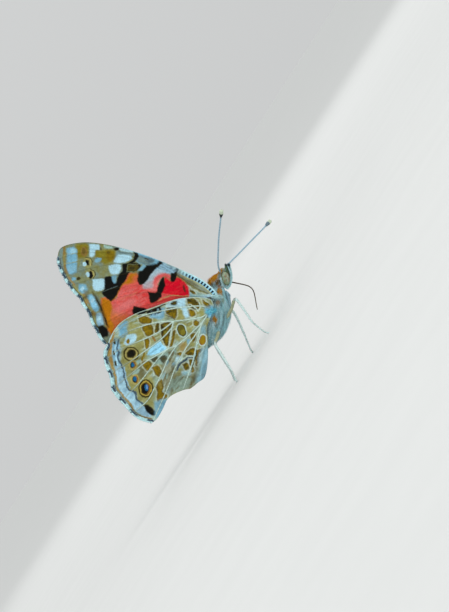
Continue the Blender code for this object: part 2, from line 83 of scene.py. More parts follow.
# Lights: place, size, share of the main light's power, colour
LIGHTS = {
    "key": ((0.42, -0.38, 0.45), 0.35, 1.0, (1.0, 0.99, 0.97)),
    "fill": ((-0.3, -0.55, 0.3), 0.5, 0.55, (0.95, 0.98, 1.0)),
    "rear": ((0.1, 0.5, 0.4), 0.5, 0.7, (1.0, 1.0, 1.0)),
    "front": ((0.5, -0.25, 0.08), 0.25, 0.32, (0.96, 0.99, 1.0)),
}
# Pieces of the coat: stretch along the body, side, share of the coat's hairs, seed
COATS = {
    "coat_head": ((0.0, 2.6), 0.0, 0.4, 301),
    "coat_thorax_R": ((2.4, 13.2), RIGHT, 1.0, 302),
    "coat_thorax_L": ((2.4, 13.2), LEFT, 1.0, 303),
    "coat_abdomen": ((12.8, 24.0), 0.0, 0.8, 304),
}

# Sheets of the wings: distance from the middle plane, and how they open at the body
FORE_FLAT, FORE_SPREAD, FORE_REACH = 0.57, 2.16, 5.0
HIND_FLAT, HIND_SPREAD, HIND_REACH = 1.67, 1.3, 7.0
HIND_SPREAD_REAR = 0.62
HIND_ROOT, ROOT_DIP, ROOT_DIP_REACH = (-1.9, -2.2), 0.5, 2.6
BODY_AXIS = ((-0.9, 4.3), (-1.1, 1.0), (-1.0, -2.0), (-1.4, -5.5), (-2.6, -7.4), (-5.2, -11.1),
             (-8.2, -16.5))

FORE_COSTA = ((-0.9, 0.9), (-2.0, 2.1), (-4.0, 3.6), (-8.0, 5.5), (-14.0, 7.95), (-20.0, 9.75),
              (-25.0, 10.55), (-28.5, 10.3), (-30.7, 9.4), (-31.35, 7.5))
FORE_MARGIN = ((-31.35, 7.5, 0.1), (-31.05, 5.9, 0.1), (-30.15, 4.1, 0.15), (-29.1, 2.35, 0.2),
               (-27.0, -0.1, 0.2), (-25.4, -2.8, 0.2), (-24.0, -6.1, 0.2), (-22.3, -8.8, 0.0))
FORE_INNER = ((-22.3, -8.8), (-18.0, -8.1), (-12.0, -5.6), (-7.0, -2.6), (-4.2, -0.75),
              (-2.4, 0.2), (-0.9, 0.3))
FORE_VEINS = {
    "subcosta": ((-1.7, 1.3), (-5.0, 3.5), (-9.0, 5.35), (-12.6, 7.0)),
    "radius": ((-1.5, 0.75), (-4.0, 2.1), (-7.0, 3.6), (-10.0, 5.0), (-13.0, 6.2), (-16.2, 7.1)),
    "radial_1": ((-10.6, 5.3), (-13.6, 7.0), (-17.0, 8.6)),
    "radial_2": ((-13.8, 6.5), (-17.2, 8.0), (-20.8, 9.6)),
    "radial_3": ((-19.5, 7.9), (-24.0, 9.2), (-28.3, 10.0)),
    "radial_4": ((-22.5, 8.7), (-27.0, 8.6), (-31.1, 7.5)),
    "radial_5": ((-16.2, 7.1), (-19.5, 7.9), (-26.2, 7.3), (-30.8, 5.9)),
    "median_1": ((-16.4, 6.3), (-20.3, 6.55), (-25.9, 5.5), (-29.9, 4.1)),
    "median_2": ((-16.2, 4.9), (-20.2, 4.3), (-25.2, 3.5), (-28.9, 2.35)),
    "median_3": ((-15.5, 2.6), (-19.6, 1.95), (-23.5, 1.1), (-26.8, -0.05)),
    "cubitus": ((-1.6, 0.45), (-4.0, 0.3), (-7.0, 0.3), (-9.5, 0.4), (-12.0, 1.0), (-15.5, 2.6)),
    "cell_end": ((-16.2, 7.1), (-16.4, 6.3), (-16.2, 4.9), (-15.5, 2.6)),
    "cubital_1": ((-13.0, 1.35), (-17.0, 0.75), (-21.0, -0.3), (-25.2, -2.75)),
    "cubital_2": ((-9.5, 0.4), (-12.0, -0.6), (-16.5, -1.9), (-20.6, -3.8), (-23.8, -6.0)),
    "anal": ((-3.6, 0.0), (-7.0, -1.4), (-12.0, -4.1), (-17.0, -6.5), (-22.1, -8.5)),
}
HIND_COSTA = ((-1.55, -1.4), (-2.1, -0.3), (-4.0, 0.15), (-7.0, 0.05), (-9.5, -0.45), (-13.0, -1.75),
              (-16.5, -3.0), (-19.3, -4.7), (-20.9, -6.8), (-21.85, -9.0))
HIND_MARGIN = ((-21.85, -9.0, 0.35), (-22.35, -11.9, 0.15), (-21.45, -14.4, -0.1),
               (-21.0, -17.4, 0.08), (-19.2, -19.7, 0.0), (-17.1, -22.1, 0.35), (-13.3, -23.75, 0.0))
HIND_INNER = ((-13.3, -23.75), (-12.3, -22.9), (-11.2, -21.0), (-10.4, -19.3), (-9.2, -18.3),
              (-7.2, -17.45), (-6.0, -17.2), (-4.6, -16.1), (-3.3, -15.0), (-2.75, -12.5),
              (-2.65, -9.0), (-2.85, -5.6), (-2.05, -3.4), (-1.55, -1.4))
HIND_VEINS = {
    "subcosta": ((-2.3, -1.9), (-4.2, -1.5), (-7.5, -1.75), (-10.8, -2.3), (-14.8, -3.3),
                 (-18.0, -4.8), (-20.8, -7.1)),
    "radial": ((-2.3, -1.9), (-3.6, -3.5), (-6.6, -4.1), (-9.2, -4.4), (-12.0, -4.6), (-15.0, -5.3),
               (-18.0, -6.5), (-21.6, -9.0)),
    "median_1": ((-9.2, -4.4), (-11.4, -6.1), (-14.3, -7.6), (-17.6, -8.95), (-20.2, -10.2),
                 (-22.1, -11.8)),
    "median_2": ((-9.5, -5.6), (-10.7, -7.0), (-12.4, -8.5), (-14.8, -10.2), (-17.2, -11.9),
                 (-21.2, -14.3)),
    "cell_end": ((-9.2, -4.4), (-9.5, -5.6), (-9.9, -8.0), (-10.2, -9.6)),
    "median_3": ((-10.2, -9.6), (-12.4, -10.9), (-14.6, -12.2), (-16.9, -14.1), (-20.8, -17.3)),
    "cubital_1": ((-2.3, -1.9), (-3.4, -4.1), (-6.0, -6.8), (-8.6, -9.0), (-10.2, -9.6),
                  (-12.0, -11.4), (-13.6, -13.4), (-15.7, -16.1), (-19.0, -19.5)),
    "cubital_2": ((-8.6, -9.0), (-10.2, -11.4), (-11.3, -14.0), (-12.7, -16.8), (-14.1, -19.4),
                  (-16.9, -21.9)),
    "anal_1": ((-3.4, -4.1), (-4.8, -6.6), (-6.5, -9.0), (-7.7, -10.9), (-9.0, -13.5), (-10.3, -17.0),
               (-13.1, -23.4)),
    "anal_2": ((-4.0, -5.3), (-4.6, -7.6), (-5.1, -10.0), (-5.8, -12.8), (-6.5, -14.8), (-7.3, -17.1)),
}

# Colours as seen, red, green, blue
TINTS = {
    "olive_grey": (0.51, 0.54, 0.38, "Ground of the forewing's tip"),
    "olive": (0.51, 0.48, 0.14, "Olive clouds of the forewing's tip"),
    "brown": (0.56, 0.40, 0.12, "Brown lines and edges"),
    "ochre": (0.64, 0.52, 0.28, "Golden line along the margins"),
    "gold": (0.51, 0.42, 0.02, "Golden brown patches of the hindwing"),
    "honey": (0.61, 0.50, 0.08, "Brightest golden patches"),
    "tan": (0.60, 0.60, 0.36, "Tan band and clouds of the hindwing"),
    "salmon": (0.85, 0.34, 0.32, "Flush of the forewing"),
    "rose": (0.85, 0.45, 0.44, "Pale part of the flush"),
    "blush": (0.65, 0.72, 0.76, "Frosted wedge of the forewing"),
    "red": (0.84, 0.25, 0.24, "Red parts of the flush"),
    "crimson": (0.83, 0.01, 0.14, "Cell of the forewing"),
    "orange": (0.72, 0.45, 0.01, "Orange strip and block of the forewing"),
    "ink": (0.03, 0.035, 0.02, "Black bands and pupils"),
    "umber": (0.22, 0.20, 0.07, "Dark rings and blotches"),
    "white": (0.69, 0.86, 0.92, "White patches and fringe"),
    "ice": (0.47, 0.69, 0.79, "Pale blue patches"),
    "sky_white": (0.62, 0.87, 0.98, "Blue-white triangle of the hindwing"),
    "sky": (0.45, 0.74, 0.88, "Bright blue at the wing roots"),
    "slate": (0.27, 0.36, 0.42, "Blue-grey shading"),
    "navy": (0.04, 0.15, 0.27, "Dark blue dashes"),
    "lilac": (0.57, 0.73, 0.81, "Lilac border band"),
    "pale": (0.62, 0.76, 0.72, "Pale halos of veins and patches"),
    "vein": (0.78, 0.89, 0.85, "Veins of the hindwing"),
    "straw": (0.68, 0.64, 0.37, "Straw rings of the eye spots"),
    "amber": (0.74, 0.64, 0.27, "Golden ring of the last eye spot"),
    "blue": (0.08, 0.40, 0.60, "Blue pupils"),
    "gleam": (0.46, 0.62, 0.84, "Bright mark in the last pupil"),
    "grey": (0.46, 0.56, 0.55, "Grey clouds"),
    "drab": (0.44, 0.44, 0.33, "Brown-grey folds of the hindwing"),
    "bark": (0.32, 0.28, 0.06, "Dark brown patches"),
    "cream": (0.78, 0.83, 0.74, "Cream scales and hairs"),
    "tawny": (0.80, 0.40, 0.12, "Orange of the upper side"),
    "dusk": (0.20, 0.14, 0.10, "Dark scales of the upper side, club and tongue"),
    "teal": (0.63, 0.83, 0.87, "Hair of the thorax"),
    "haze": (0.75, 0.91, 0.96, "Pale streaks of the hair"),
    "frost": (0.80, 0.98, 1.0, "White of the palps, throat and front legs"),
    "fawn": (0.74, 0.52, 0.08, "Golden hair of the back"),
    "hazel": (0.57, 0.62, 0.54, "Eye"),
    "moss": (0.45, 0.58, 0.43, "Green clouds of the eye"),
    "rust": (0.58, 0.40, 0.27, "Brown clouds of the eye and brown hair"),
    "stalk": (0.62, 0.74, 0.80, "Antenna stalk"),
    "shin": (0.82, 0.91, 0.90, "Legs"),
}

# Markings of the forewing's underside, painted in order: kind, tint, softness or width, points and,
# where it is not full, the strength. Streaks have softness, direction and pitch, and spots have their
# two half sizes and direction.
FORE_UNDER = (
    ("area", "pale", 0.5, ((-7.4, 4.9), (-1.2, 1.2), (-0.9, 0.2), (-4, -0.8), (-8, -0.6), (-7, 1.5))),
    ("area", "lilac", 0.3, ((-12.4, 7.2), (-8.7, 5.6), (-8.6, 4.7), (-9.8, 4.5), (-13.4, 5.4))),
    ("streaks", "slate", (0.2, 2.7, 0.22), ((-12.2, 7), (-8.7, 5.6), (-8.7, 4.8), (-12.6, 5.9)), 0.5),
    ("area", "hazel", 0.4, ((-8.8, 4.9), (-5, 3), (-2.2, 0.9), (-3, 0.7), (-6.2, 1.7), (-7.6, 2.6))),
    ("area", "drab", 0.4, ((-8.8, 4.9), (-5.4, 3.2), (-4.6, 2.2), (-7.6, 2.6)), 0.85),
    ("area", "slate", 0.3, ((-8.8, 5), (-7.6, 4.2), (-7.4, 3.6), (-8.6, 4.2)), 0.5),
    ("spot", "gold", (0.18, 0.08, -0.6), ((-7.6, 3.9), (-6.9, 3.4), (-6.2, 3), (-5.4, 2.5),
        (-4.6, 2)), 0.35),
    ("line", "olive", 0.13, ((-8.7, 4.2), (-6.6, 2.75), (-4.8, 1.6), (-2.6, 0.7)), 0.6),
    ("line", "bark", 0.06, ((-8.6, 4.4), (-6.6, 2.95), (-4.6, 1.7), (-2.6, 0.8)), 0.8),
    ("line", "cream", 0.07, ((-8, 3.3), (-6.3, 2.2), (-4.6, 1.2), (-2.4, 0.55))),
    ("patch", "gold", 0.1, ((-6.1, 1.7), (-5.4, 1.2), (-5, 0.7), (-5.4, 0.7), (-6.1, 1.2))),
    ("area", "ice", 0.3, ((-6.6, 1.6), (-5.6, 0.6), (-4.2, 0.2), (-6.4, 0.4)), 0.6),
    ("area", "white", 0.25, ((-4.6, 0.3), (-1, 0.8), (-0.9, -0.3), (-1.8, -0.3), (-4, -0.2))),
    ("area", "salmon", 0.15, ((-15, 2.6), (-16.2, 4.5), (-18.3, 4.4), (-19.4, 2.4), (-19.8, 0.9),
        (-20.1, -0.2), (-22.9, -0.1), (-22.7, -2.4), (-21.8, -5), (-20.8, -6.8), (-14, -6.5), (-8, -2.8),
        (-6.6, -0.4), (-6.4, 1.2), (-9, 2))),
    ("area", "red", 0.7, ((-15.9, 2), (-14.2, 1.8), (-13.6, -1), (-15.2, -1.7), (-16.6, 0.4))),
    ("area", "rose", 0.5, ((-21, -2.3), (-18.8, -1), (-16.8, 0), (-16.4, -0.8), (-18.4, -2.1),
        (-20.6, -3.4)), 0.8),
    ("streaks", "rose", (0.5, 0.45, 0.3), ((-20.4, 1.2), (-15.4, 2.6), (-14.4, -0.8), (-19, -3.8),
        (-21.4, -4)), 0.5),
    ("line", "orange", 0.1, ((-20, -0.4), (-18, 0.2), (-16.2, 1.1)), 0.3),
    ("area", "orange", 0.9, ((-21.6, -1.8), (-19.6, -3), (-18, -3.4), (-19.6, -6.8), (-21.2, -6.6)), 0.55),
    ("area", "orange", 0.3, ((-23, 0), (-21.6, -0.3), (-20.9, -1.6), (-21.1, -3.8), (-20.6, -5.4),
        (-20.9, -7), (-22, -5.4), (-22.9, -2.6))),
    ("area", "orange", 0.35, ((-18.4, 2.7), (-18.1, 3.8), (-17.4, 4.7), (-16.2, 4.7), (-15.9, 3.4),
        (-16.8, 2.7))),
    ("line", "orange", 0.22, ((-18.4, 3), (-19.3, 2.1), (-19.9, 0.9), (-20.4, 0), (-21.4, -0.8)), 0.8),
    ("area", "salmon", 0.5, ((-16.9, 4), (-16.1, 4.4), (-15.7, 3), (-16.3, 2), (-17.8, 2), (-17, 3.1)), 0.6),
    ("area", "rose", 0.2, ((-12.6, 4.9), (-10, 4.5), (-9.9, 3.5), (-11, 4.1), (-12, 3.1), (-12.6, 1.3),
        (-14, 1.5), (-14.8, 2.4), (-13.8, 4))),
    ("area", "red", 0.3, ((-13, 4.5), (-10.2, 4.5), (-9.9, 3.7), (-11, 4), (-12.2, 3.4), (-12.7, 2.4)), 0.6),
    ("area", "blush", 0.35, ((-15.1, 2.6), (-14.2, 4.3), (-12.6, 5.3), (-11, 5), (-12.6, 4.1), (-13.1, 2.9),
        (-13.3, 1.9), (-14.8, 1.9))),
    ("area", "white", 0.4, ((-13.9, 4.3), (-12.4, 5.3), (-11.2, 5), (-12.8, 4.2)), 0.25),
    ("area", "rose", 0.5, ((-15, 2.1), (-14.2, 2.9), (-13, 3.2), (-12.9, 1.9), (-14.6, 1.7)), 0.3),
    ("area", "crimson", 0.15, ((-10.8, 4), (-9.6, 3.2), (-8.4, 3.9), (-7.3, 3.1), (-6.5, 2.2), (-6.5, 0.6),
        (-9, 0.45), (-10.6, 0.8), (-11.6, 1.2), (-11.1, 2.6))),
    ("streaks", "red", (0.3, 0.35, 0.3), ((-10.8, 3.8), (-8.4, 3.7), (-6.6, 2.2), (-6.6, 0.7),
        (-11.4, 1.3)), 0.3),
    ("spot", "dusk", (0.22, 0.75, 0.1), ((-7.15, 1.75),), 0.8),
    ("line", "red", 0.28, ((-13.6, -1), (-11.2, -0.45), (-8.6, 0.05), (-7.2, 0.1))),
    ("line", "tan", 0.05, ((-6.6, 0.35), (-9.5, 0.4), (-10.9, 0.1), (-12.2, -0.6))),
    ("area", "ink", 0.1, ((-14.1, 1.15), (-12.6, 1.1), (-11.9, 3), (-11.2, 4), (-10.9, 3.7), (-10.9, 2),
        (-11.6, 0.8), (-11.6, 0.1), (-12.6, -0.7), (-13.6, -1), (-13.9, 0))),
    ("area", "ink", 0.12, ((-16.8, -1.5), (-17, -3), (-15.6, -2.8), (-14.2, -2.3), (-14.6, -1.9),
        (-15.7, -1.8))),
    ("area", "ink", 0.12, ((-12, 7.1), (-11.3, 6.7), (-13.1, 5), (-14.4, 3.1), (-15.3, 2.4), (-16, 2.9),
        (-15.9, 4.8), (-15.1, 5.3), (-14.4, 6.3))),
    ("area", "ink", 0.1, ((-9.7, 4.75), (-8.6, 4.6), (-8.7, 3.6), (-9.2, 3), (-9.8, 3.3))),
    ("line", "ink", 0.26, ((-9, 4.5), (-8.75, 5), (-8.5, 5.4))),
    ("area", "ice", 0.25, ((-16.2, 9), (-12.2, 7.4), (-13, 6.4), (-16.2, 6.9))),
    ("area", "grey", 0.3, ((-16, 8.1), (-12.9, 7.2), (-13.8, 6.4), (-16, 6.9))),
    ("streaks", "slate", (0.2, 2.8, 0.3), ((-15.9, 8.3), (-12.9, 7.3), (-13.8, 6.5), (-15.9, 6.9)), 0.7),
    ("line", "umber", 0.12, ((-14.6, 7.5), (-14, 7.3))),
    ("area", "ink", 0.12, ((-18.9, 6.4), (-19, 5), (-19.7, 4.4), (-20.2, 3), (-20.9, 4.1), (-22.3, 3.9),
        (-22.6, 2.3), (-22.4, 1.7), (-22.95, 1.2), (-22.5, 0.4), (-21.6, -0.3), (-21, -0.7), (-20.2, 0.2),
        (-19.6, 1.3), (-19, 2.4), (-18.4, 3.2), (-18, 4.1), (-17.4, 4.9), (-16.2, 5.1), (-15.4, 6.3),
        (-16.3, 6.7), (-17.6, 6.6))),
    ("area", "ink", 0.1, ((-16.85, 9.2), (-16.1, 8.6), (-15.8, 7.9), (-16.6, 6.8), (-17.8, 6.3),
        (-18.8, 5.8), (-19, 6.2), (-17.6, 6.7), (-16.8, 7.5), (-16.6, 8.2))),
    ("area", "bark", 0.2, ((-18, 5.2), (-16.2, 5.2), (-16, 6.2), (-17.9, 6.2))),
    ("spot", "umber", (0.6, 0.3, 0.2), ((-17.1, 5.7),)),
    ("line", "olive_grey", 0.045, ((-18.1, 4.9), (-18.05, 5.6), (-17.9, 6.3), (-16.9, 6.35),
        (-15.9, 6.4)), 0.8),
    ("line", "olive_grey", 0.045, ((-18, 4.95), (-17, 5), (-16, 5.1)), 0.8),
    ("area", "ice", 0.12, ((-16, 5.2), (-14.9, 6.4), (-14.5, 6.1), (-15.2, 5.2)), 0.85),
    ("area", "ice", 0.12, ((-21, 4.2), (-20.1, 4.3), (-20.2, 2.8), (-20.7, 3.1)), 0.85),
    ("area", "grey", 0.2, ((-20.1, 8.9), (-16.9, 8.5), (-17.1, 7.8), (-19.5, 7.8), (-20.3, 8.1))),
    ("area", "white", 0.15, ((-20.5, 7.2), (-20, 8), (-19, 8.3), (-17.2, 8), (-17, 7.6), (-18, 6.85),
        (-19.5, 6.6), (-20.5, 6.8))),
    ("area", "white", 0.12, ((-19.6, 9.5), (-16.9, 8.95), (-16.9, 8.6), (-19.3, 9)), 0.8),
    ("line", "slate", 0.06, ((-19.8, 8.8), (-17.2, 8.35)), 0.7),
    ("area", "white", 0.15, ((-21.5, 6.1), (-20.4, 6.4), (-19.3, 6.2), (-19.4, 4.9), (-20, 4.5),
        (-21.2, 4.7))),
    ("line", "grey", 0.03, ((-23, 1.15), (-21.4, 1.7), (-19.8, 2.3)), 0.7),
    ("spot", "ink", (0.5, 0.3, 0.3), ((-20.1, 9.3),)),
    ("area", "pale", 0.15, ((-22.5, 10.1), (-20.9, 9.7), (-20.8, 9.3), (-22.2, 9.5))),
    ("spot", "umber", (0.2, 0.4, 0.3), ((-23.1, 9.4),), 0.8),
    ("area", "olive", 0.35, ((-24.2, 9), (-20.5, 9), (-20.6, 7.4), (-21.4, 6.6), (-22.4, 6.4),
        (-24.2, 7.8))),
    ("area", "gold", 0.35, ((-22, 8.9), (-20.6, 8.9), (-20.5, 7.4), (-21.2, 6.9), (-22, 7.6)), 0.9),
    ("spot", "umber", (0.35, 0.22, 0.3), ((-21.6, 8.6),), 0.6),
    ("area", "white", 0.15, ((-25.3, 10.25), (-23.4, 10.2), (-23.3, 9.3), (-24.1, 9), (-24.3, 8),
        (-25.1, 7.9), (-25.1, 9))),
    ("spot", "ice", (0.7, 0.45, 0.2), ((-23.6, 7.2),), 0.85),
    ("area", "olive", 0.3, ((-27.7, 10.2), (-25.6, 10.3), (-25.5, 8), (-27.4, 7.8))),
    ("streaks", "gold", (0.3, 1.4, 0.3), ((-27.6, 10.1), (-25.6, 10.2), (-25.5, 8.2), (-27.4, 8)), 0.5),
    ("spot", "rust", (0.6, 0.9, 0.2), ((-26.2, 8.8),), 0.45),
    ("spot", "bark", (0.3, 0.6, 0.2), ((-26.3, 8.9),), 0.6),
    ("area", "ice", 0.2, ((-29.5, 9.4), (-27.8, 9.55), (-27.65, 7), (-27.8, 4.9), (-29.4, 4.9))),
    ("area", "white", 0.25, ((-28.9, 9.4), (-27.9, 9.4), (-27.9, 8.6), (-28.7, 8.6)), 0.6),
    ("area", "white", 0.25, ((-29.3, 6.2), (-27.9, 6.2), (-27.9, 5.1), (-29.2, 5.1)), 0.2),
    ("line", "tan", 0.07, ((-29.6, 6.6), (-28.6, 6.7), (-27.6, 6.9)), 0.8),
    ("line", "tan", 0.06, ((-29.6, 8.4), (-28.6, 8.45), (-27.7, 8.5)), 0.7),
    ("spot", "tan", (1, 0.95, 0.2), ((-25.5, 6.7), (-25, 4.5)), 0.7),
    ("line", "umber", 0.07, ((-25.9, 7.75), (-25.1, 7.55), (-24.65, 6.9), (-24.8, 6.2))),
    ("line", "straw", 0.12, ((-25.7, 7.45), (-25.2, 7.2), (-24.95, 6.7), (-25.1, 6.2))),
    ("spot", "ink", (0.26, 0.6, 0.25), ((-25.6, 6.75),)),
    ("spot", "white", (0.4, 0.42, 0), ((-26.1, 6.45),)),
    ("line", "umber", 0.08, ((-25.1, 5.5), (-24.4, 5.2), (-24.1, 4.5), (-24.4, 3.8))),
    ("line", "straw", 0.14, ((-25, 5.2), (-24.55, 4.9), (-24.45, 4.4), (-24.7, 3.9))),
    ("spot", "ink", (0.42, 0.78, 0), ((-24.95, 4.4),)),
    ("spot", "white", (0.44, 0.5, 0), ((-25.5, 4.45),)),
    ("spot", "umber", (0.35, 0.3, 0.3), ((-27.3, 3.7),)),
    ("spot", "ice", (0.5, 0.35, 0.5), ((-28.2, 3.6),)),
    ("area", "white", 0.15, ((-24.6, 3.55), (-22.6, 3.6), (-22.4, 1.9), (-23.2, 1.4), (-24.35, 1.6))),
    ("line", "grey", 0.35, ((-30.5, 9.2), (-30.7, 7.6), (-30.3, 5.4), (-29.5, 3.6), (-28.3, 2.1)), 0.8),
    ("line", "tan", 0.3, ((-28.3, 2.3), (-26.9, 0.9), (-25.9, -1.2), (-24.6, -3.8), (-23.6, -6.2)), 0.8),
    ("line", "brown", 0.22, ((-29.95, 9.6), (-30.05, 8.4)), 0.6),
    ("line", "brown", 0.22, ((-29.9, 6.2), (-29.5, 4.8)), 0.6),
    ("line", "ochre", 0.14, ((-29.95, 8.4), (-29.95, 6.4)), 0.5),
    ("line", "ochre", 0.2, ((-29.1, 3.9), (-28.7, 3.2), (-28, 2.5)), 0.8),
    ("line", "ochre", 0.2, ((-26.3, 0.7), (-25.8, -0.2), (-25.3, -1)), 0.8),
    ("area", "ice", 0.2, ((-27.2, 2.7), (-26, 2.5), (-25.6, 1.5), (-26.3, 0.9), (-27.2, 1.4))),
    ("area", "drab", 0.25, ((-26.4, 1.5), (-25.6, 1.5), (-25.2, 0.6), (-25.9, 0.3)), 0.7),
    ("area", "ice", 0.2, ((-25.6, 0.6), (-24.7, 0.7), (-23.7, -1), (-23.4, -2.2), (-24.3, -2.5),
        (-25.2, -0.8))),
    ("area", "sky_white", 0.3, ((-25.3, 0.5), (-24.7, 0.5), (-23.7, -1.2), (-24.3, -2), (-25, -0.8)), 0.5),
    ("spot", "ochre", (0.5, 0.3, -1), ((-25.9, -0.9), (-24.4, -2.9)), 0.8),
    ("area", "lilac", 0.2, ((-24, -2.9), (-22.9, -3), (-22.6, -5), (-23.6, -5.2))),
    ("spot", "white", (0.45, 0.3, 0.9), ((-26.5, 1.8), (-24.6, -0.5), (-23.4, -4)), 0.8),
    ("area", "umber", 0.35, ((-24.6, 1.1), (-23.7, 0), (-22.9, -1.5), (-22.4, -3), (-21.5, -5.6),
        (-22.4, -4.6), (-22.9, -3), (-23.5, -1.4), (-24.2, 0))),
    ("line", "ink", 0.1, ((-23.7, -0.4), (-23.1, -1.5), (-22.8, -2.4)), 0.8),
    ("line", "ink", 0.14, ((-22.3, -3.8), (-21.9, -5)), 0.8),
    ("area", "umber", 0.4, ((-25.3, -2.6), (-24, -2.8), (-23.3, -3.3), (-24.9, -3.2)), 0.6),
    ("area", "umber", 0.4, ((-26.9, 0.1), (-25.9, 0.5), (-25.4, 0.3), (-26.6, -0.4)), 0.6),
    ("area", "ink", 0.25, ((-24.1, -5.3), (-22.6, -5.2), (-21.7, -6), (-21.7, -7.3), (-23.4, -7.5))),
)
DASH_PITCH = 0.68                 # of the dark dashes beside the costa

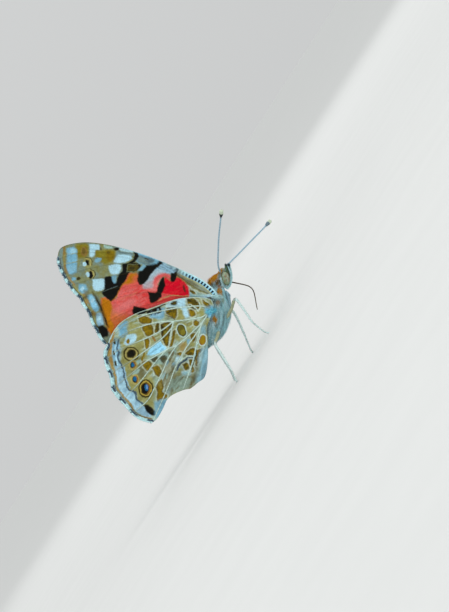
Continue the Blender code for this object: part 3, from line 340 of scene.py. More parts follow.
# Markings of the hindwing's underside
HIND_UNDER = (
    ("area", "ice", 0.3, ((-19.8, -5.3), (-18, -4.4), (-17.8, -7), (-19.3, -7.4))),
    ("area", "slate", 0.4, ((-19.3, -5.7), (-18.5, -5.2), (-18.3, -6.8), (-19, -7)), 0.3),
    ("streaks", "olive", (0.5, 0.35, 0.35), ((-17.6, -3.9), (-15.6, -3.4), (-15.1, -6.8), (-16.9, -7)), 0.7),
    ("area", "tan", 0.5, ((-17.6, -4.2), (-18.6, -7), (-18.9, -10), (-19, -12), (-18.6, -14), (-17.9, -16.6),
        (-16.3, -18.8), (-14.4, -20.6), (-12.7, -21.2), (-12.7, -17), (-13.4, -15), (-15.4, -14),
        (-15.8, -12), (-15.4, -10.3), (-14.8, -8.5), (-15, -6)), 0.8),
    ("spot", "ice", (0.6, 1, 0.2), ((-18.6, -6.1),), 0.8),
    ("area", "drab", 0.8, ((-16.6, -11.6), (-15.2, -11.4), (-14.2, -14.4), (-15.6, -16.4),
        (-17.2, -14.4)), 0.8),
    ("area", "bark", 0.6, ((-15.9, -13.4), (-15, -13.2), (-14.6, -15), (-15.4, -15.4)), 0.45),
    ("spot", "pale", (0.9, 0.35, 0.6), ((-16.1, -12.3), (-16.3, -14.1)), 0.8),
    ("area", "bark", 0.5, ((-18.9, -9.8), (-18.3, -10.2), (-18.4, -12), (-18.9, -12.4)), 0.5),
    ("area", "lilac", 0.25, ((-20.2, -8), (-19.4, -9), (-19.6, -12), (-18.6, -13.5), (-18.2, -16.2),
        (-17.8, -17.3), (-16.6, -17.9), (-16.2, -19.1), (-15.3, -20.1), (-14.6, -20.7), (-13.4, -22),
        (-14, -22.8), (-16.2, -21.6), (-17.4, -20), (-19.3, -18), (-20, -15.4), (-20.5, -12.6),
        (-21, -9.4))),
    ("streaks", "white", (0.3, 1, 0.5), ((-19.6, -13), (-18.2, -16.4), (-16.4, -18.4), (-14.2, -21.6),
        (-15.8, -21.4), (-19.2, -17.6)), 0.6),
    ("area", "ice", 0.3, ((-20.7, -7.5), (-19.5, -8), (-19.5, -12.4), (-20.5, -12.6), (-20.9, -10)), 0.6),
    ("line", "slate", 0.16, ((-19.6, -8), (-19.9, -9.4), (-19.6, -10.4), (-19.8, -11.6), (-19.3, -12.5))),
    ("line", "slate", 0.17, ((-19.2, -12.6), (-18.7, -13.6), (-18.6, -15), (-18.2, -16.2), (-17.8, -17.3),
        (-17, -17.6), (-16.5, -18), (-16.2, -19.1), (-15.7, -19.7), (-15, -20.2))),
    ("line", "lilac", 0.12, ((-18.5, -13.2), (-18.3, -14.9), (-17.9, -16.2), (-17.4, -17))),
    ("spot", "umber", (0.22, 0.5, 0.1), ((-20.4, -8.4), (-20.5, -10.4), (-20.2, -12.4))),
    ("line", "white", 0.12, ((-20.3, -9), (-20.15, -11), (-19.9, -12.6))),
    ("line", "white", 0.1, ((-20.05, -13.6), (-19.75, -15.2), (-19.3, -17.2), (-18.2, -18.6), (-17, -20),
        (-16.2, -21.4))),
    ("line", "ochre", 0.3, ((-20.7, -7), (-21.1, -8.8), (-21.2, -10.7), (-20.9, -12.6)), 0.8),
    ("line", "ochre", 0.16, ((-20.5, -6.6), (-21.25, -8.8), (-21.4, -10.9), (-20.9, -12.8), (-20.4, -14.2),
        (-20.1, -15.6), (-19.8, -17.3), (-18.9, -18.3), (-18, -19.5), (-17.1, -20.6), (-16.5, -21.9),
        (-15, -22.6), (-13.4, -23.1)), 0.9),
    ("line", "white", 0.09, ((-20.9, -6.8), (-21.7, -9), (-21.85, -11), (-21.25, -13), (-20.75, -14.4),
        (-20.5, -15.8), (-20.25, -17.3), (-19.2, -18.6), (-18.3, -19.8), (-17.4, -20.9), (-16.7, -22.2),
        (-15.1, -22.9), (-13.4, -23.4))),
    ("area", "ink", 0.12, ((-14.85, -20.4), (-14.25, -20.2), (-12.65, -21.6), (-12.7, -22.3), (-13.7, -22.2),
        (-14.6, -21.3))),
    ("area", "white", 0.2, ((-18.6, -8.5), (-18, -7.1), (-16.4, -6.9), (-16.3, -7.9), (-17.1, -8.7),
        (-18.2, -9))),
    ("spot", "brown", (0.34, 0.48, 0.2), ((-17.85, -8.25),)),
    ("spot", "gold", (0.3, 0.4, 0.2), ((-17.8, -8.2),)),
    ("patch", "gold", 0.14, ((-15.9, -3.6), (-14.9, -3.4), (-13.4, -4), (-13.6, -4.9), (-15, -4.85),
        (-15.8, -4.4))),
    ("patch", "gold", 0.14, ((-15.2, -5.5), (-14.9, -5.2), (-13.2, -5.2), (-13.1, -6.9), (-13.9, -7.4),
        (-15, -6.3))),
    ("patch", "gold", 0.12, ((-14.8, -7.8), (-13.9, -7.8), (-13.8, -8.8), (-14.2, -9.8), (-14.6, -9))),
    ("line", "brown", 0.2, ((-13.2, -7.3), (-12.7, -8.1)), 0.9),
    ("patch", "bark", 0.12, ((-12.5, -4.9), (-11.9, -4.9), (-12.1, -6.6), (-12.7, -6.5))),
    ("patch", "bark", 0.1, ((-11.6, -5.1), (-11.1, -4.75), (-9.7, -4.7), (-9.5, -5.3), (-9.75, -6.2),
        (-10.1, -7.4), (-10.2, -8.6), (-10.6, -9.2), (-11.1, -8.2), (-11.5, -7.2))),
    ("area", "ink", 0.1, ((-11.55, -5.2), (-11.2, -5), (-11.1, -6.6), (-11.4, -7.2), (-11.6, -6.4)), 0.7),
    ("spot", "olive", (0.4, 0.35, 0.4), ((-10.6, -5.3), (-10.7, -6.5)), 0.8),
    ("spot", "gold", (0.3, 0.6, -0.2), ((-10.5, -8),), 0.9),
    ("patch", "gold", 0.1, ((-9.3, -6.3), (-8.85, -6.1), (-9, -7.8), (-9.5, -9.2), (-9.95, -9.2),
        (-9.6, -7.6))),
    ("spot", "vein", (0.98, 1.4, 0.35), ((-7.65, -6.15),), 0.9),
    ("spot", "umber", (0.8, 1.2, 0.35), ((-7.65, -6.15),)),
    ("spot", "olive", (0.6, 1, 0.35), ((-7.65, -6.15),), 0.9),
    ("streaks", "umber", (0.15, 0.4, 0.25), ((-8.3, -5.4), (-7.3, -5.2), (-6.9, -6.9), (-7.9, -7)), 0.5),
    ("area", "tan", 0.3, ((-8.9, -1.9), (-7.7, -1.9), (-7.4, -2.8), (-6.6, -3.5), (-6.6, -4), (-8.8, -4.1))),
    ("patch", "gold", 0.14, ((-10.4, -1.9), (-8.7, -1.9), (-8.7, -3.6), (-9.2, -3.8), (-10.6, -2.8))),
    ("streaks", "umber", (0.2, 0.8, 0.22), ((-10.4, -1.9), (-8.8, -1.9), (-9.3, -2.7), (-10.5, -2.9)), 0.9),
    ("line", "umber", 0.13, ((-10.3, -2), (-9.5, -1.85), (-8.8, -1.9)), 0.8),
    ("line", "umber", 0.1, ((-10.5, -3.3), (-9.7, -3.65), (-8.9, -4.05)), 0.8),
    ("area", "white", 0.3, ((-10.8, -1.3), (-9.8, -0.6), (-8.2, -0.3), (-8.6, -1.6), (-10.4, -1.8)), 0.7),
    ("area", "umber", 0.12, ((-9.8, -0.95), (-9.3, -0.6), (-8.5, -0.55), (-8.35, -1.1), (-8.9, -1.35),
        (-9.6, -1.25))),
    ("spot", "bark", (0.3, 0.15, 0.2), ((-9, -0.95),)),
    ("line", "ink", 0.15, ((-11.8, -1.7), (-11.3, -1.4), (-10.8, -1.15)), 0.9),
    ("line", "ink", 0.3, ((-15.9, -3), (-15.2, -2.75), (-14.5, -2.5))),
    ("area", "ice", 0.3, ((-13.6, -3.7), (-11.3, -3.9), (-10.9, -1.9), (-12.4, -2.4), (-13.6, -2.6))),
    ("area", "white", 0.3, ((-13.2, -3.4), (-11.6, -3.4), (-11.5, -2.6), (-13, -2.8)), 0.7),
    ("area", "ink", 0.1, ((-14.3, -2.5), (-13.4, -2.1), (-11.8, -1.7), (-11.5, -2.7), (-12.9, -3),
        (-14.2, -3.2))),
    ("streaks", "white", (0.1, 1.57, 0.3), ((-14.1, -2.8), (-13.3, -2.4), (-12, -2), (-11.9, -2.7),
        (-13.2, -2.9)), 0.5),
    ("streaks", "navy", (0.1, 1.57, 0.2), ((-13.8, -3.3), (-11.9, -3.2), (-11.8, -2.7), (-13.6, -2.9)), 0.7),
    ("patch", "gold", 0.12, ((-6.4, -2.3), (-5.6, -2.1), (-5.15, -2.7), (-5.2, -3.35), (-5.9, -3.55),
        (-6.45, -3.1))),
    ("area", "white", 0.3, ((-8.4, -0.2), (-6.9, 0), (-6.9, -1.6), (-6.2, -3.4), (-7, -3.8), (-7.6, -2.2),
        (-8.5, -1.6))),
    ("patch", "bark", 0.15, ((-6.7, -0.2), (-5.4, -0.1), (-4.4, -1), (-4.2, -1.7), (-4.6, -2.1), (-5.5, -2),
        (-6.3, -1.3))),
    ("streaks", "umber", (0.15, 2.3, 0.28), ((-6.6, -0.3), (-5.4, -0.2), (-4.4, -1.2), (-5.5, -1.9))),
    ("spot", "gold", (0.4, 0.26, -0.5), ((-6.1, -1), (-4.9, -1.6)), 0.8),
    ("line", "vein", 0.08, ((-6.3, -1.2), (-5.2, -1.7), (-4.4, -2.5))),
    ("line", "vein", 0.07, ((-4.5, -2.5), (-4.2, -1.6), (-4.3, -0.9)), 0.8),
    ("patch", "gold", 0.12, ((-3.8, -0.3), (-2.6, -1), (-2.2, -1.7), (-2.7, -1.9), (-3.5, -1.1))),
    ("area", "tan", 0.3, ((-4.4, -2.4), (-3.3, -2.2), (-3, -3.4), (-4.2, -3.5))),
    ("area", "sky", 0.5, ((-3.2, -1.9), (-1.7, -1.6), (-1.5, -2.9), (-2.2, -3.6), (-3.1, -3.1))),
    ("spot", "navy", (0.4, 0.14, 0), ((-3.1, -3.6),)),
    ("patch", "gold", 0.12, ((-5.4, -4.4), (-4.75, -4.15), (-4.35, -4.7), (-4.7, -5.3), (-5.35, -5.15))),
    ("area", "ice", 0.4, ((-4.2, -5.6), (-3.3, -5.2), (-3, -6.8), (-3.9, -7)), 0.7),
    ("patch", "gold", 0.1, ((-5.95, -6.9), (-5.2, -6.7), (-5, -7.7), (-5.5, -8.4), (-5.95, -7.9))),
    ("area", "ochre", 0.3, ((-8.4, -8.8), (-7.3, -8.3), (-6.6, -9), (-6.9, -10), (-7.9, -10.2)), 0.6),
    ("spot", "ice", (0.35, 0.5, 0), ((-6.35, -8.3),), 0.8),
    ("spot", "vein", (0.86, 1.15, 0), ((-3.7, -8),)),
    ("spot", "brown", (0.68, 0.97, 0), ((-3.7, -8),)),
    ("spot", "honey", (0.5, 0.8, 0), ((-3.65, -7.95),)),
    ("patch", "gold", 0.12, ((-8.5, -10.4), (-7.7, -10.3), (-7.7, -11.2), (-8.1, -11.8))),
    ("patch", "gold", 0.1, ((-7, -10.6), (-6.3, -9.9), (-5.2, -9.6), (-5.2, -10.6), (-5.9, -11))),
    ("spot", "bark", (0.45, 0.2, 0.4), ((-6.1, -10.6),)),
    ("patch", "gold", 0.12, ((-4.7, -9.9), (-3.6, -9.6), (-4.3, -10.7), (-4.7, -12.9), (-5, -12.8),
        (-5, -10.9))),
    ("area", "ice", 0.4, ((-7.8, -13.2), (-7, -12), (-5.6, -11.8), (-5.2, -13.8), (-6.4, -14.6)), 0.6),
    ("area", "white", 0.25, ((-7.7, -14), (-6.9, -13.7), (-5.9, -13.9), (-6, -14.7), (-7.4, -14.9))),
    ("area", "white", 0.25, ((-9, -11.6), (-8.6, -10.9), (-7.6, -11.3), (-8.2, -12.4), (-8.8, -13)), 0.7),
    ("line", "vein", 0.1, ((-8.6, -13), (-8.1, -12.1), (-7.3, -11.4), (-6.4, -11.05), (-5.5, -11)), 0.8),
    ("line", "slate", 0.2, ((-8.5, -13.7), (-8.2, -12.8), (-7.4, -11.95), (-6.4, -11.45), (-5.5, -11.3))),
    ("line", "navy", 0.08, ((-8.4, -13.4), (-8, -12.7), (-7.3, -12.05), (-6.4, -11.55)), 0.8),
    ("patch", "gold", 0.1, ((-7.5, -12.7), (-6.9, -12.3), (-6.2, -12.7), (-6.2, -13.5), (-7, -13.7))),
    ("spot", "bark", (0.35, 0.2, 0.5), ((-7, -12.8), (-6.5, -13.3))),
    ("patch", "gold", 0.1, ((-6.3, -11.7), (-5.6, -11.6), (-5.4, -12.5), (-6, -12.9))),
    ("spot", "umber", (0.16, 0.4, 0.3), ((-5.75, -12.2),), 0.8),
    ("patch", "gold", 0.1, ((-5.95, -13.2), (-5.4, -13.1), (-5.3, -13.9), (-5.8, -14.2))),
    ("line", "umber", 0.11, ((-4.85, -9.9), (-5.05, -11), (-5.35, -12.2), (-5.8, -13.6))),
    ("line", "frost", 0.07, ((-4.65, -8.6), (-5, -10), (-5.25, -11.2), (-5.6, -12.4), (-6.1, -13.8))),
    ("patch", "gold", 0.1, ((-8.25, -15.5), (-7.2, -14.9), (-6.6, -15.4), (-8, -15.8))),
    ("line", "umber", 0.12, ((-8.3, -15.7), (-7.6, -15.8), (-6.9, -15.6))),
    ("spot", "ice", (0.5, 0.3, 0.3), ((-7, -14.3),), 0.8),
    ("line", "ink", 0.12, ((-8.6, -16.75), (-7.9, -16.8), (-7.4, -16.5))),
    ("patch", "gold", 0.12, ((-6.8, -16.5), (-6.1, -15.8), (-5.8, -15.7), (-5.7, -16.8), (-6.1, -17.3))),
    ("area", "drab", 0.25, ((-14, -11.3), (-11.8, -10.9), (-10.3, -10.1), (-8.9, -9.6), (-8.9, -10.8),
        (-10.3, -11.6), (-11.8, -12.2), (-13.5, -12))),
    ("area", "pale", 0.3, ((-14.2, -11.2), (-11.8, -10.8), (-9, -9.7), (-8.8, -10.9), (-10.8, -12.6),
        (-13.5, -12.2)), 0.8),
    ("area", "umber", 0.12, ((-13.7, -11.4), (-12.4, -11), (-11.9, -11.6), (-12.6, -12.2),
        (-13.3, -12.1)), 0.9),
    ("area", "umber", 0.14, ((-11.9, -11.3), (-10.9, -10.9), (-10.4, -11.5), (-10.9, -12.4),
        (-11.5, -12.2)), 0.9),
    ("spot", "bark", (0.3, 0.16, 0.5), ((-12.6, -11.7), (-11.1, -11.6)), 0.7),
    ("area", "drab", 0.14, ((-10.3, -10.3), (-9.2, -9.9), (-9.1, -10.8), (-10, -11.2))),
    ("area", "pale", 0.6, ((-12.6, -14.8), (-10.3, -14), (-10, -18), (-12.6, -20.6), (-12.8, -17.4)), 0.6),
    ("area", "drab", 0.5, ((-11.6, -12.8), (-9.2, -11.6), (-8.6, -14.4), (-4.6, -14.6), (-4.8, -16.2),
        (-7.2, -17.6), (-9.6, -18.4), (-11, -19.2), (-10.8, -15.8)), 0.75),
    ("streaks", "white", (0.5, 1.2, 0.4), ((-11.8, -14.8), (-10.3, -14), (-10, -18), (-11.4, -19)), 0.4),
    ("patch", "gold", 0.2, ((-15.3, -12.4), (-14.9, -12), (-13.5, -12.2), (-13.4, -13.2), (-14.3, -13.8))),
    ("patch", "gold", 0.14, ((-13.3, -13.2), (-12.2, -12.8), (-11.6, -13.6), (-11.7, -14.5), (-12.1, -14.9),
        (-12.8, -14.2))),
    ("line", "gold", 0.18, ((-14.8, -10.3), (-15.2, -11.8))),
    ("patch", "gold", 0.12, ((-12.6, -16.9), (-11.5, -15.5), (-11.1, -16.8), (-11.4, -17.8), (-10.4, -18.4),
        (-10.5, -19), (-11.7, -19.3), (-12.1, -19.8), (-12.5, -19), (-12.2, -18))),
    ("spot", "straw", (0.35, 0.7, 0.2), ((-11.8, -16.5),), 0.45),
    ("spot", "tan", (0.45, 0.7, 0.5), ((-8.5, -7.5), (-6.2, -6.1), (-5.7, -8.7)), 0.9),
    ("area", "sky_white", 0.15, ((-14.3, -10.8), (-13.3, -9.3), (-11.9, -8.2), (-11.4, -8.6), (-10.5, -9.9),
        (-11.2, -10.3), (-12.5, -10.6), (-13.5, -11))),
    ("streaks", "ice", (0.2, 0.75, 0.3), ((-14, -10.7), (-12.2, -8.8), (-10.9, -9.6), (-12.4, -10.5)), 0.6),
    ("streaks", "drab", (0.5, 1.16, 0.35), ((-11, -11.6), (-8.9, -10.4), (-8.4, -12), (-9.2, -14.6),
        (-10.4, -17.4), (-11.6, -15), (-11.2, -13.2))),
    ("streaks", "bark", (0.4, 1.16, 0.34), ((-10.8, -11.8), (-9.1, -11.2), (-9.1, -13.4),
        (-10.5, -16.4)), 0.6),
    ("spot", "ice", (0.3, 0.6, -0.4), ((-10.45, -12.4), (-9.3, -12.7)), 0.6),
    ("spot", "drab", (0.35, 0.8, -0.4), ((-9.6, -13.4), (-10.2, -13.9)), 0.8),
    ("spot", "pale", (0.2, 0.5, -0.4), ((-10.4, -14.9),), 0.7),
    ("streaks", "cream", (0.4, 1.16, 0.45), ((-11.4, -12.2), (-9, -10.8), (-9.4, -14.2),
        (-10.6, -17.4)), 0.4),
    ("streaks", "pale", (0.5, 0.9, 0.4), ((-9.4, -14.4), (-6, -13.8), (-3.4, -13), (-4, -15.6), (-7, -17.2),
        (-9.8, -17.8)), 0.6),
    ("streaks", "umber", (0.4, 1, 0.3), ((-9.2, -15.4), (-6.2, -14.6), (-5, -15.6), (-7.6, -17),
        (-9.4, -17.4)), 0.45),
    ("area", "ice", 0.7, ((-3.9, -9.6), (-2.3, -9.4), (-2.3, -15.4), (-4.8, -16.2), (-4.2, -12.4)), 0.75),
    ("streaks", "white", (0.5, 1.4, 0.5), ((-4.4, -9.8), (-2.5, -9.8), (-2.6, -15), (-5.4, -16.4)), 0.3),
    ("streaks", "slate", (0.5, 1.4, 0.6), ((-4.4, -11), (-2.8, -11), (-2.6, -15), (-5.6, -16.6)), 0.35),
    ("area", "ice", 0.4, ((-12.8, -19.8), (-10.4, -19.3), (-11.6, -22.6), (-12.6, -22.6)), 0.9),
    # Eye spots from the front edge to the rear, and after the first, painted shade over the hindwing's folds
    # and ground
    ("spot", "tan", (1.65, 1.65, -0.2), ((-17.25, -10.65),)),
    ("spot", "umber", (1.46, 1.4, -0.2), ((-17.25, -10.65),)),
    ("spot", "straw", (1.18, 1.13, -0.2), ((-17.25, -10.65),)),
    ("spot", "umber", (0.95, 0.86, 0.3), ((-17.25, -10.6),)),
    ("spot", "ink", (0.78, 0.66, 0.3), ((-17.25, -10.6),)),
    # Painted shade: three faint dark areas over the hindwing's folds and ground
    ("area", "bark", 1.2, ((-12.2, -13), (-9.5, -11.8), (-5.5, -13.2), (-3.5, -15.5), (-7, -17.4),
        (-10.2, -18.4), (-11.8, -21), (-14, -18.5)), 0.15),
    ("area", "bark", 1, ((-19.2, -10.4), (-17.4, -10.6), (-13.6, -17.6), (-13.2, -21), (-16.8, -17.8)), 0.1),
    ("area", "bark", 0.8, ((-9, -6.8), (-8, -6.8), (-8, -8.4), (-9.4, -8.6)), 0.25),
    ("spot", "straw", (0.85, 1, 0), ((-16.95, -12.8),), 0.9),
    ("spot", "brown", (0.52, 0.68, 0), ((-16.85, -12.75),)),
    ("spot", "ink", (0.46, 0.62, 0), ((-17.05, -12.75),)),
    ("spot", "blue", (0.34, 0.48, 0), ((-16.95, -12.7),)),
    ("spot", "straw", (0.85, 1, 0), ((-16.55, -15.5),), 0.9),
    ("spot", "brown", (0.58, 0.66, 0), ((-16.4, -15.45),)),
    ("spot", "ink", (0.46, 0.6, 0), ((-16.6, -15.5),)),
    ("spot", "blue", (0.34, 0.46, 0), ((-16.5, -15.4),)),
    ("spot", "tan", (1.65, 1.95, 0), ((-14.5, -17.2),)),
    ("spot", "umber", (1.47, 1.77, 0), ((-14.5, -17.2),)),
    ("spot", "amber", (1.17, 1.45, 0), ((-14.5, -17.2),)),
    ("spot", "umber", (1, 1.24, 0), ((-14.5, -17.2),)),
    ("spot", "brown", (0.82, 1.04, 0), ((-14.4, -17.2),)),
    ("spot", "ink", (0.72, 1, 0), ((-14.58, -17.2),)),
    ("spot", "blue", (0.36, 0.6, 0.2), ((-14.35, -17),), 0.9),
    ("spot", "gleam", (0.16, 0.4, 0.2), ((-14.22, -16.85),)),
)

# Upper side, seen where the closed wings part: kind, tint, softness or width, points
FORE_UPPER = (
    ("area", "tawny", 0.5, ((-3, 2.2), (-9, 4.9), (-15, 6.2), (-19.5, 4.8), (-22, 0), (-21.5, -6.5),
        (-14, -5.6), (-7, -2))),
    ("area", "brown", 1, ((-1, 0.9), (-6, 3.6), (-8, 0.5), (-6, -2), (-2, 0))),
    ("area", "ink", 0.25, ((-31.6, 9), (-28, 11), (-16, 9), (-15.8, 6.6), (-19.5, 5), (-22, 1.6),
        (-24.2, 0.4), (-29.5, 2))),
    ("line", "ink", 0.9, ((-27.5, 0), (-25.2, -3), (-23.6, -6.4), (-22.4, -8.8))),
    ("spot", "ink", (1.2, 1.4, 0.5), ((-14.5, 5.2), (-12.6, 1), (-11, 3.6), (-20.5, 0.6))),
    ("area", "white", 0.2, ((-20.4, 9.2), (-17.8, 8.2), (-18.8, 6.4), (-20.8, 6.6))),
    ("spot", "white", (0.7, 0.55, 0.3), ((-24.6, 8.6), (-26.2, 6.4), (-25.6, 4.3), (-23.6, 2.6))),
)
HIND_UPPER = (
    ("area", "tawny", 0.5, ((-4, -4.5), (-9, -3), (-16, -5), (-20, -8), (-20.5, -13), (-18.5, -18),
        (-14, -21.5), (-10, -17), (-6, -11))),
    ("area", "brown", 1.2, ((-1.8, -1.8), (-7, -2), (-8, -7), (-5, -12), (-2.8, -12))),
    ("spot", "ink", (0.6, 0.6, 0), ((-17.3, -10.5), (-17, -12.9), (-16.6, -15.4), (-14.6, -17.2))),
    ("spot", "ink", (0.5, 0.7, 0.7), ((-19.4, -9.6), (-19.6, -12.4), (-19, -15.2), (-17.6, -17.9),
        (-15.6, -20.2))),
    ("line", "ink", 0.35, ((-21.2, -9), (-21.7, -11.9), (-20.8, -14.4), (-20.3, -17.2), (-18.6, -19.4),
        (-16.6, -21.6), (-13.4, -23.2))),
    ("area", "ink", 0.4, ((-10.6, -5), (-13.6, -6), (-12.6, -9.5), (-10.2, -9))),
)

# Skin of head, thorax and abdomen in one: u, v, radius in the plan, half width
SKIN = ((0.4, 5.25, 0.25, 0.3), (0.38, 5.05, 0.55, 0.62), (0.32, 4.7, 0.82, 0.9),
        (0.2, 4.2, 1.0, 1.02), (-0.05, 3.65, 1.18, 1.1), (-0.45, 3.05, 1.36, 1.2),
        (-0.95, 2.3, 1.62, 1.38), (-1.25, 1.1, 2.0, 1.6), (-1.15, -0.9, 2.32, 1.67),
        (-0.98, -2.9, 2.33, 1.67), (-1.15, -4.9, 2.02, 1.57), (-1.7, -6.5, 1.62, 1.36),
        (-2.5, -7.6, 1.35, 1.22), (-3.4, -8.7, 1.18, 1.18), (-4.6, -10.5, 1.2, 1.2),
        (-5.9, -12.5, 1.02, 1.02), (-7.05, -14.4, 0.68, 0.68), (-7.95, -16.0, 0.25, 0.25))

# Markings of the coat over the head and the side of the thorax
COAT_MARKS = (
    ("area", "rust", 0.3, ((-1.1, 3.8), (-0.6, 3.5), (-0.5, 2.6), (0.3, 2), (-0.8, 2), (-1.4, 2.9))),
    ("area", "grey", 0.3, ((-2.4, 2.7), (-1.3, 2.6), (-0.8, 2), (-1.7, 1.8), (-2.4, 2.3)), 0.8),
    ("area", "fawn", 0.3, ((-3.4, 3.1), (-2.7, 3.9), (-1.8, 4.4), (-1.3, 5), (-0.6, 5.5), (0.4, 5.7),
        (0.2, 4.8), (-0.7, 4.3), (-0.9, 3.8), (-1.2, 3.1), (-2.4, 2.7))),
    ("area", "hazel", 0.2, ((-0.1, 5.9), (0.6, 5.9), (0.6, 4.8), (0.1, 4.6)), 0.8),
    ("area", "drab", 0.2, ((-0.75, 4.6), (0, 4.8), (0.1, 3.6), (-0.4, 3.6), (-0.75, 3.9)), 0.8),
    ("line", "haze", 0.1, ((-0.42, 4.4), (-0.4, 3.8)), 0.4),
    ("area", "umber", 0.15, ((-0.6, 3.9), (-0.2, 3.7), (0.05, 2.7), (-0.2, 2.3), (-0.6, 2.8))),
    ("area", "bark", 0.2, ((-1.3, 3.3), (-0.7, 3.3), (-0.6, 2.5), (-1.2, 2.4)), 0.7),
    ("area", "white", 0.3, ((0.8, 2.2), (1.5, 2.4), (1.9, 0), (2, -1.6), (1.5, -1.4), (1.1, 0.4)), 0.7),
    ("line", "frost", 0.24, ((-0.25, 3.6), (0.1, 3), (0.45, 2.4), (0.8, 1.9))),
    ("line", "ink", 0.08, ((0.12, 3.6), (0.45, 3), (0.8, 2.5), (1.1, 2.2))),
    ("line", "tan", 0.3, ((-0.1, 0.9), (0.1, 0.4), (0.2, -0.4)), 0.7),
    ("spot", "fawn", (0.55, 0.75, 0.2), ((-0.4, 1.2),)),
    ("area", "frost", 0.3, ((-1.7, 0.5), (-0.2, 0.7), (0.2, -0.1), (-0.9, -0.3)), 0.9),
    ("spot", "fawn", (0.6, 0.46, 0.2), ((-0.85, -0.7),), 0.75),
    ("spot", "drab", (0.5, 0.3, 0.4), ((-1.7, -0.6), (-1, -4.9)), 0.7),
    ("area", "sky_white", 0.5, ((-3, -1.8), (-1.7, -1.7), (-1.5, -3), (-2.9, -3.4))),
    ("spot", "fawn", (0.5, 0.7, 0.3), ((-1.35, -3.75),)),
    ("line", "rust", 0.12, ((-2.9, -3.9), (-2.3, -4), (-1.8, -3.9)), 0.7),
    ("line", "haze", 0.12, ((-0.2, -4), (-0.5, -6), (-0.9, -7.8)), 0.8),
    ("line", "grey", 0.16, ((0.5, -2.6), (0.2, -4.6), (-0.4, -6.8)), 0.8),
)

# Head: the eyes' plan place, half sizes and distance from the middle plane
EYE_CENTRE, EYE_SIZE, EYE_SIDE = (0.72, 3.75), (0.78, 1.4, 0.8), 1.0
EYE_LEAN = math.radians(12.0)
PALPS = {
    "R": ((0.5, 2.3, 0.55), (1.0, 2.05, 0.6), (1.37, 2.6, 0.7), (1.56, 3.4, 0.78), (1.5, 4.3, 0.8),
          (1.26, 5.1, 0.78), (1.02, 5.75, 0.74), (0.88, 6.3, 0.7)),
    "L": ((0.5, 2.3, 0.55), (1.0, 2.05, 0.6), (1.37, 2.6, 0.7), (1.58, 3.4, 0.78), (1.6, 4.3, 0.8),
          (1.54, 5.1, 0.77), (1.46, 5.75, 0.73), (1.42, 6.35, 0.7)),
}
PALP_DEEP = (0.15, 0.27, 0.34, 0.42, 0.42, 0.34, 0.26, 0.1)
PALP_WIDE = (0.15, 0.22, 0.28, 0.32, 0.32, 0.28, 0.22, 0.1)
PROBOSCIS = ((1.35, 3.1), (3.0, 2.78), (4.3, 2.5), (5.2, 2.2), (5.8, 1.7), (6.15, 1.0), (6.35, 0.1),
             (6.6, -1.3), (6.8, -2.3))
# Tufts over the roots of the wings: tint and brightness, then u, v, distance from the middle, radius in the
# plan and half width of each station
ROOT_TUFTS = {
    "shoulder_tuft": ("frost", 1.2, ((0.1, 0.1, 1.3, 0.22, 0.3), (-0.45, 0.16, 2.15, 0.3, 0.4),
                                     (-1.05, 0.24, 2.85, 0.28, 0.3), (-1.7, 0.34, 3.08, 0.08, 0.1))),
    "hind_tuft": ("sky", 1.7, ((-0.9, -2.3, 1.2, 0.25, 0.3), (-1.5, -2.35, 1.95, 0.42, 0.3),
                               (-2.1, -2.5, 2.42, 0.38, 0.22), (-2.8, -2.75, 2.62, 0.1, 0.1))),
}
ANTENNA_TIP_SIDE, ANTENNA_ROOT_SIDE = 10.9, 0.6
ANTENNAE = {
    "antenna_R": ((-0.35, 5.0), (-0.68, 6.0), (-0.78, 7.3), (-0.76, 8.8), (-0.72, 11.0), (-0.58, 13.0),
                  (-0.42, 14.7), (-0.28, 16.6)),
    "antenna_L": ((-0.05, 5.0), (1.45, 6.6), (3.2, 8.3), (4.9, 10.0), (6.55, 11.65), (8.2, 13.3),
                  (9.75, 14.95)),
}
LEGS = {
    "foreleg_R": ((0.82, 1.4, -0.95), (1.16, 0.6, -0.98), (1.42, -0.6, -0.95), (1.6, -1.9, -0.8)),
    "foreleg_L": ((0.82, 1.4, 0.95), (1.16, 0.6, 0.98), (1.42, -0.6, 0.95), (1.6, -1.9, 0.8)),
    "midleg_R": ((0.9, -3.8, -1.0), (1.75, -2.2, -2.0), (2.45, -0.25, -3.2), (3.6, -1.45, -3.7),
                 (5.5, -4.25, -4.7), (6.4, -5.1, -5.1), (8.0, -6.35, -5.9), (9.0, -6.5, -6.4)),
    "midleg_L": ((0.9, -3.8, 1.0), (1.5, -3.0, 2.1), (2.0, -2.4, 3.3), (3.1, -4.1, 3.9),
                 (4.5, -7.2, 4.9), (5.2, -8.9, 5.3), (6.0, -10.5, 5.9), (6.7, -10.3, 6.5)),
    "hindleg_R": ((-0.6, -6.2, -1.0), (-0.9, -7.4, -2.2), (-1.3, -8.6, -3.2), (-0.5, -10.1, -3.9),
                  (1.5, -13.3, -5.0), (2.2, -14.6, -5.4), (2.75, -15.75, -5.9), (3.3, -15.5, -6.3)),
    "hindleg_L": ((-0.6, -6.2, 1.0), (-0.9, -7.4, 2.2), (-1.3, -8.6, 3.2), (-0.6, -10.2, 3.9),
                  (1.4, -13.4, 5.0), (2.1, -14.7, 5.4), (2.65, -15.9, 5.9), (3.2, -15.65, 6.3)),
}


def smooth(t):
    """Ease from 0 to 1, for numbers or arrays."""
    t = np.clip(t, 0.0, 1.0)
    return t * t * (3.0 - 2.0 * t)


def linear(tint):
    """Scene-linear colour of a tint as seen."""
    seen = getattr(bpy.context.scene.butterfly_colours, tint)
    return np.array([(c / 12.92 if c <= 0.04045 else ((c + 0.055) / 1.055) ** 2.4) for c in seen])


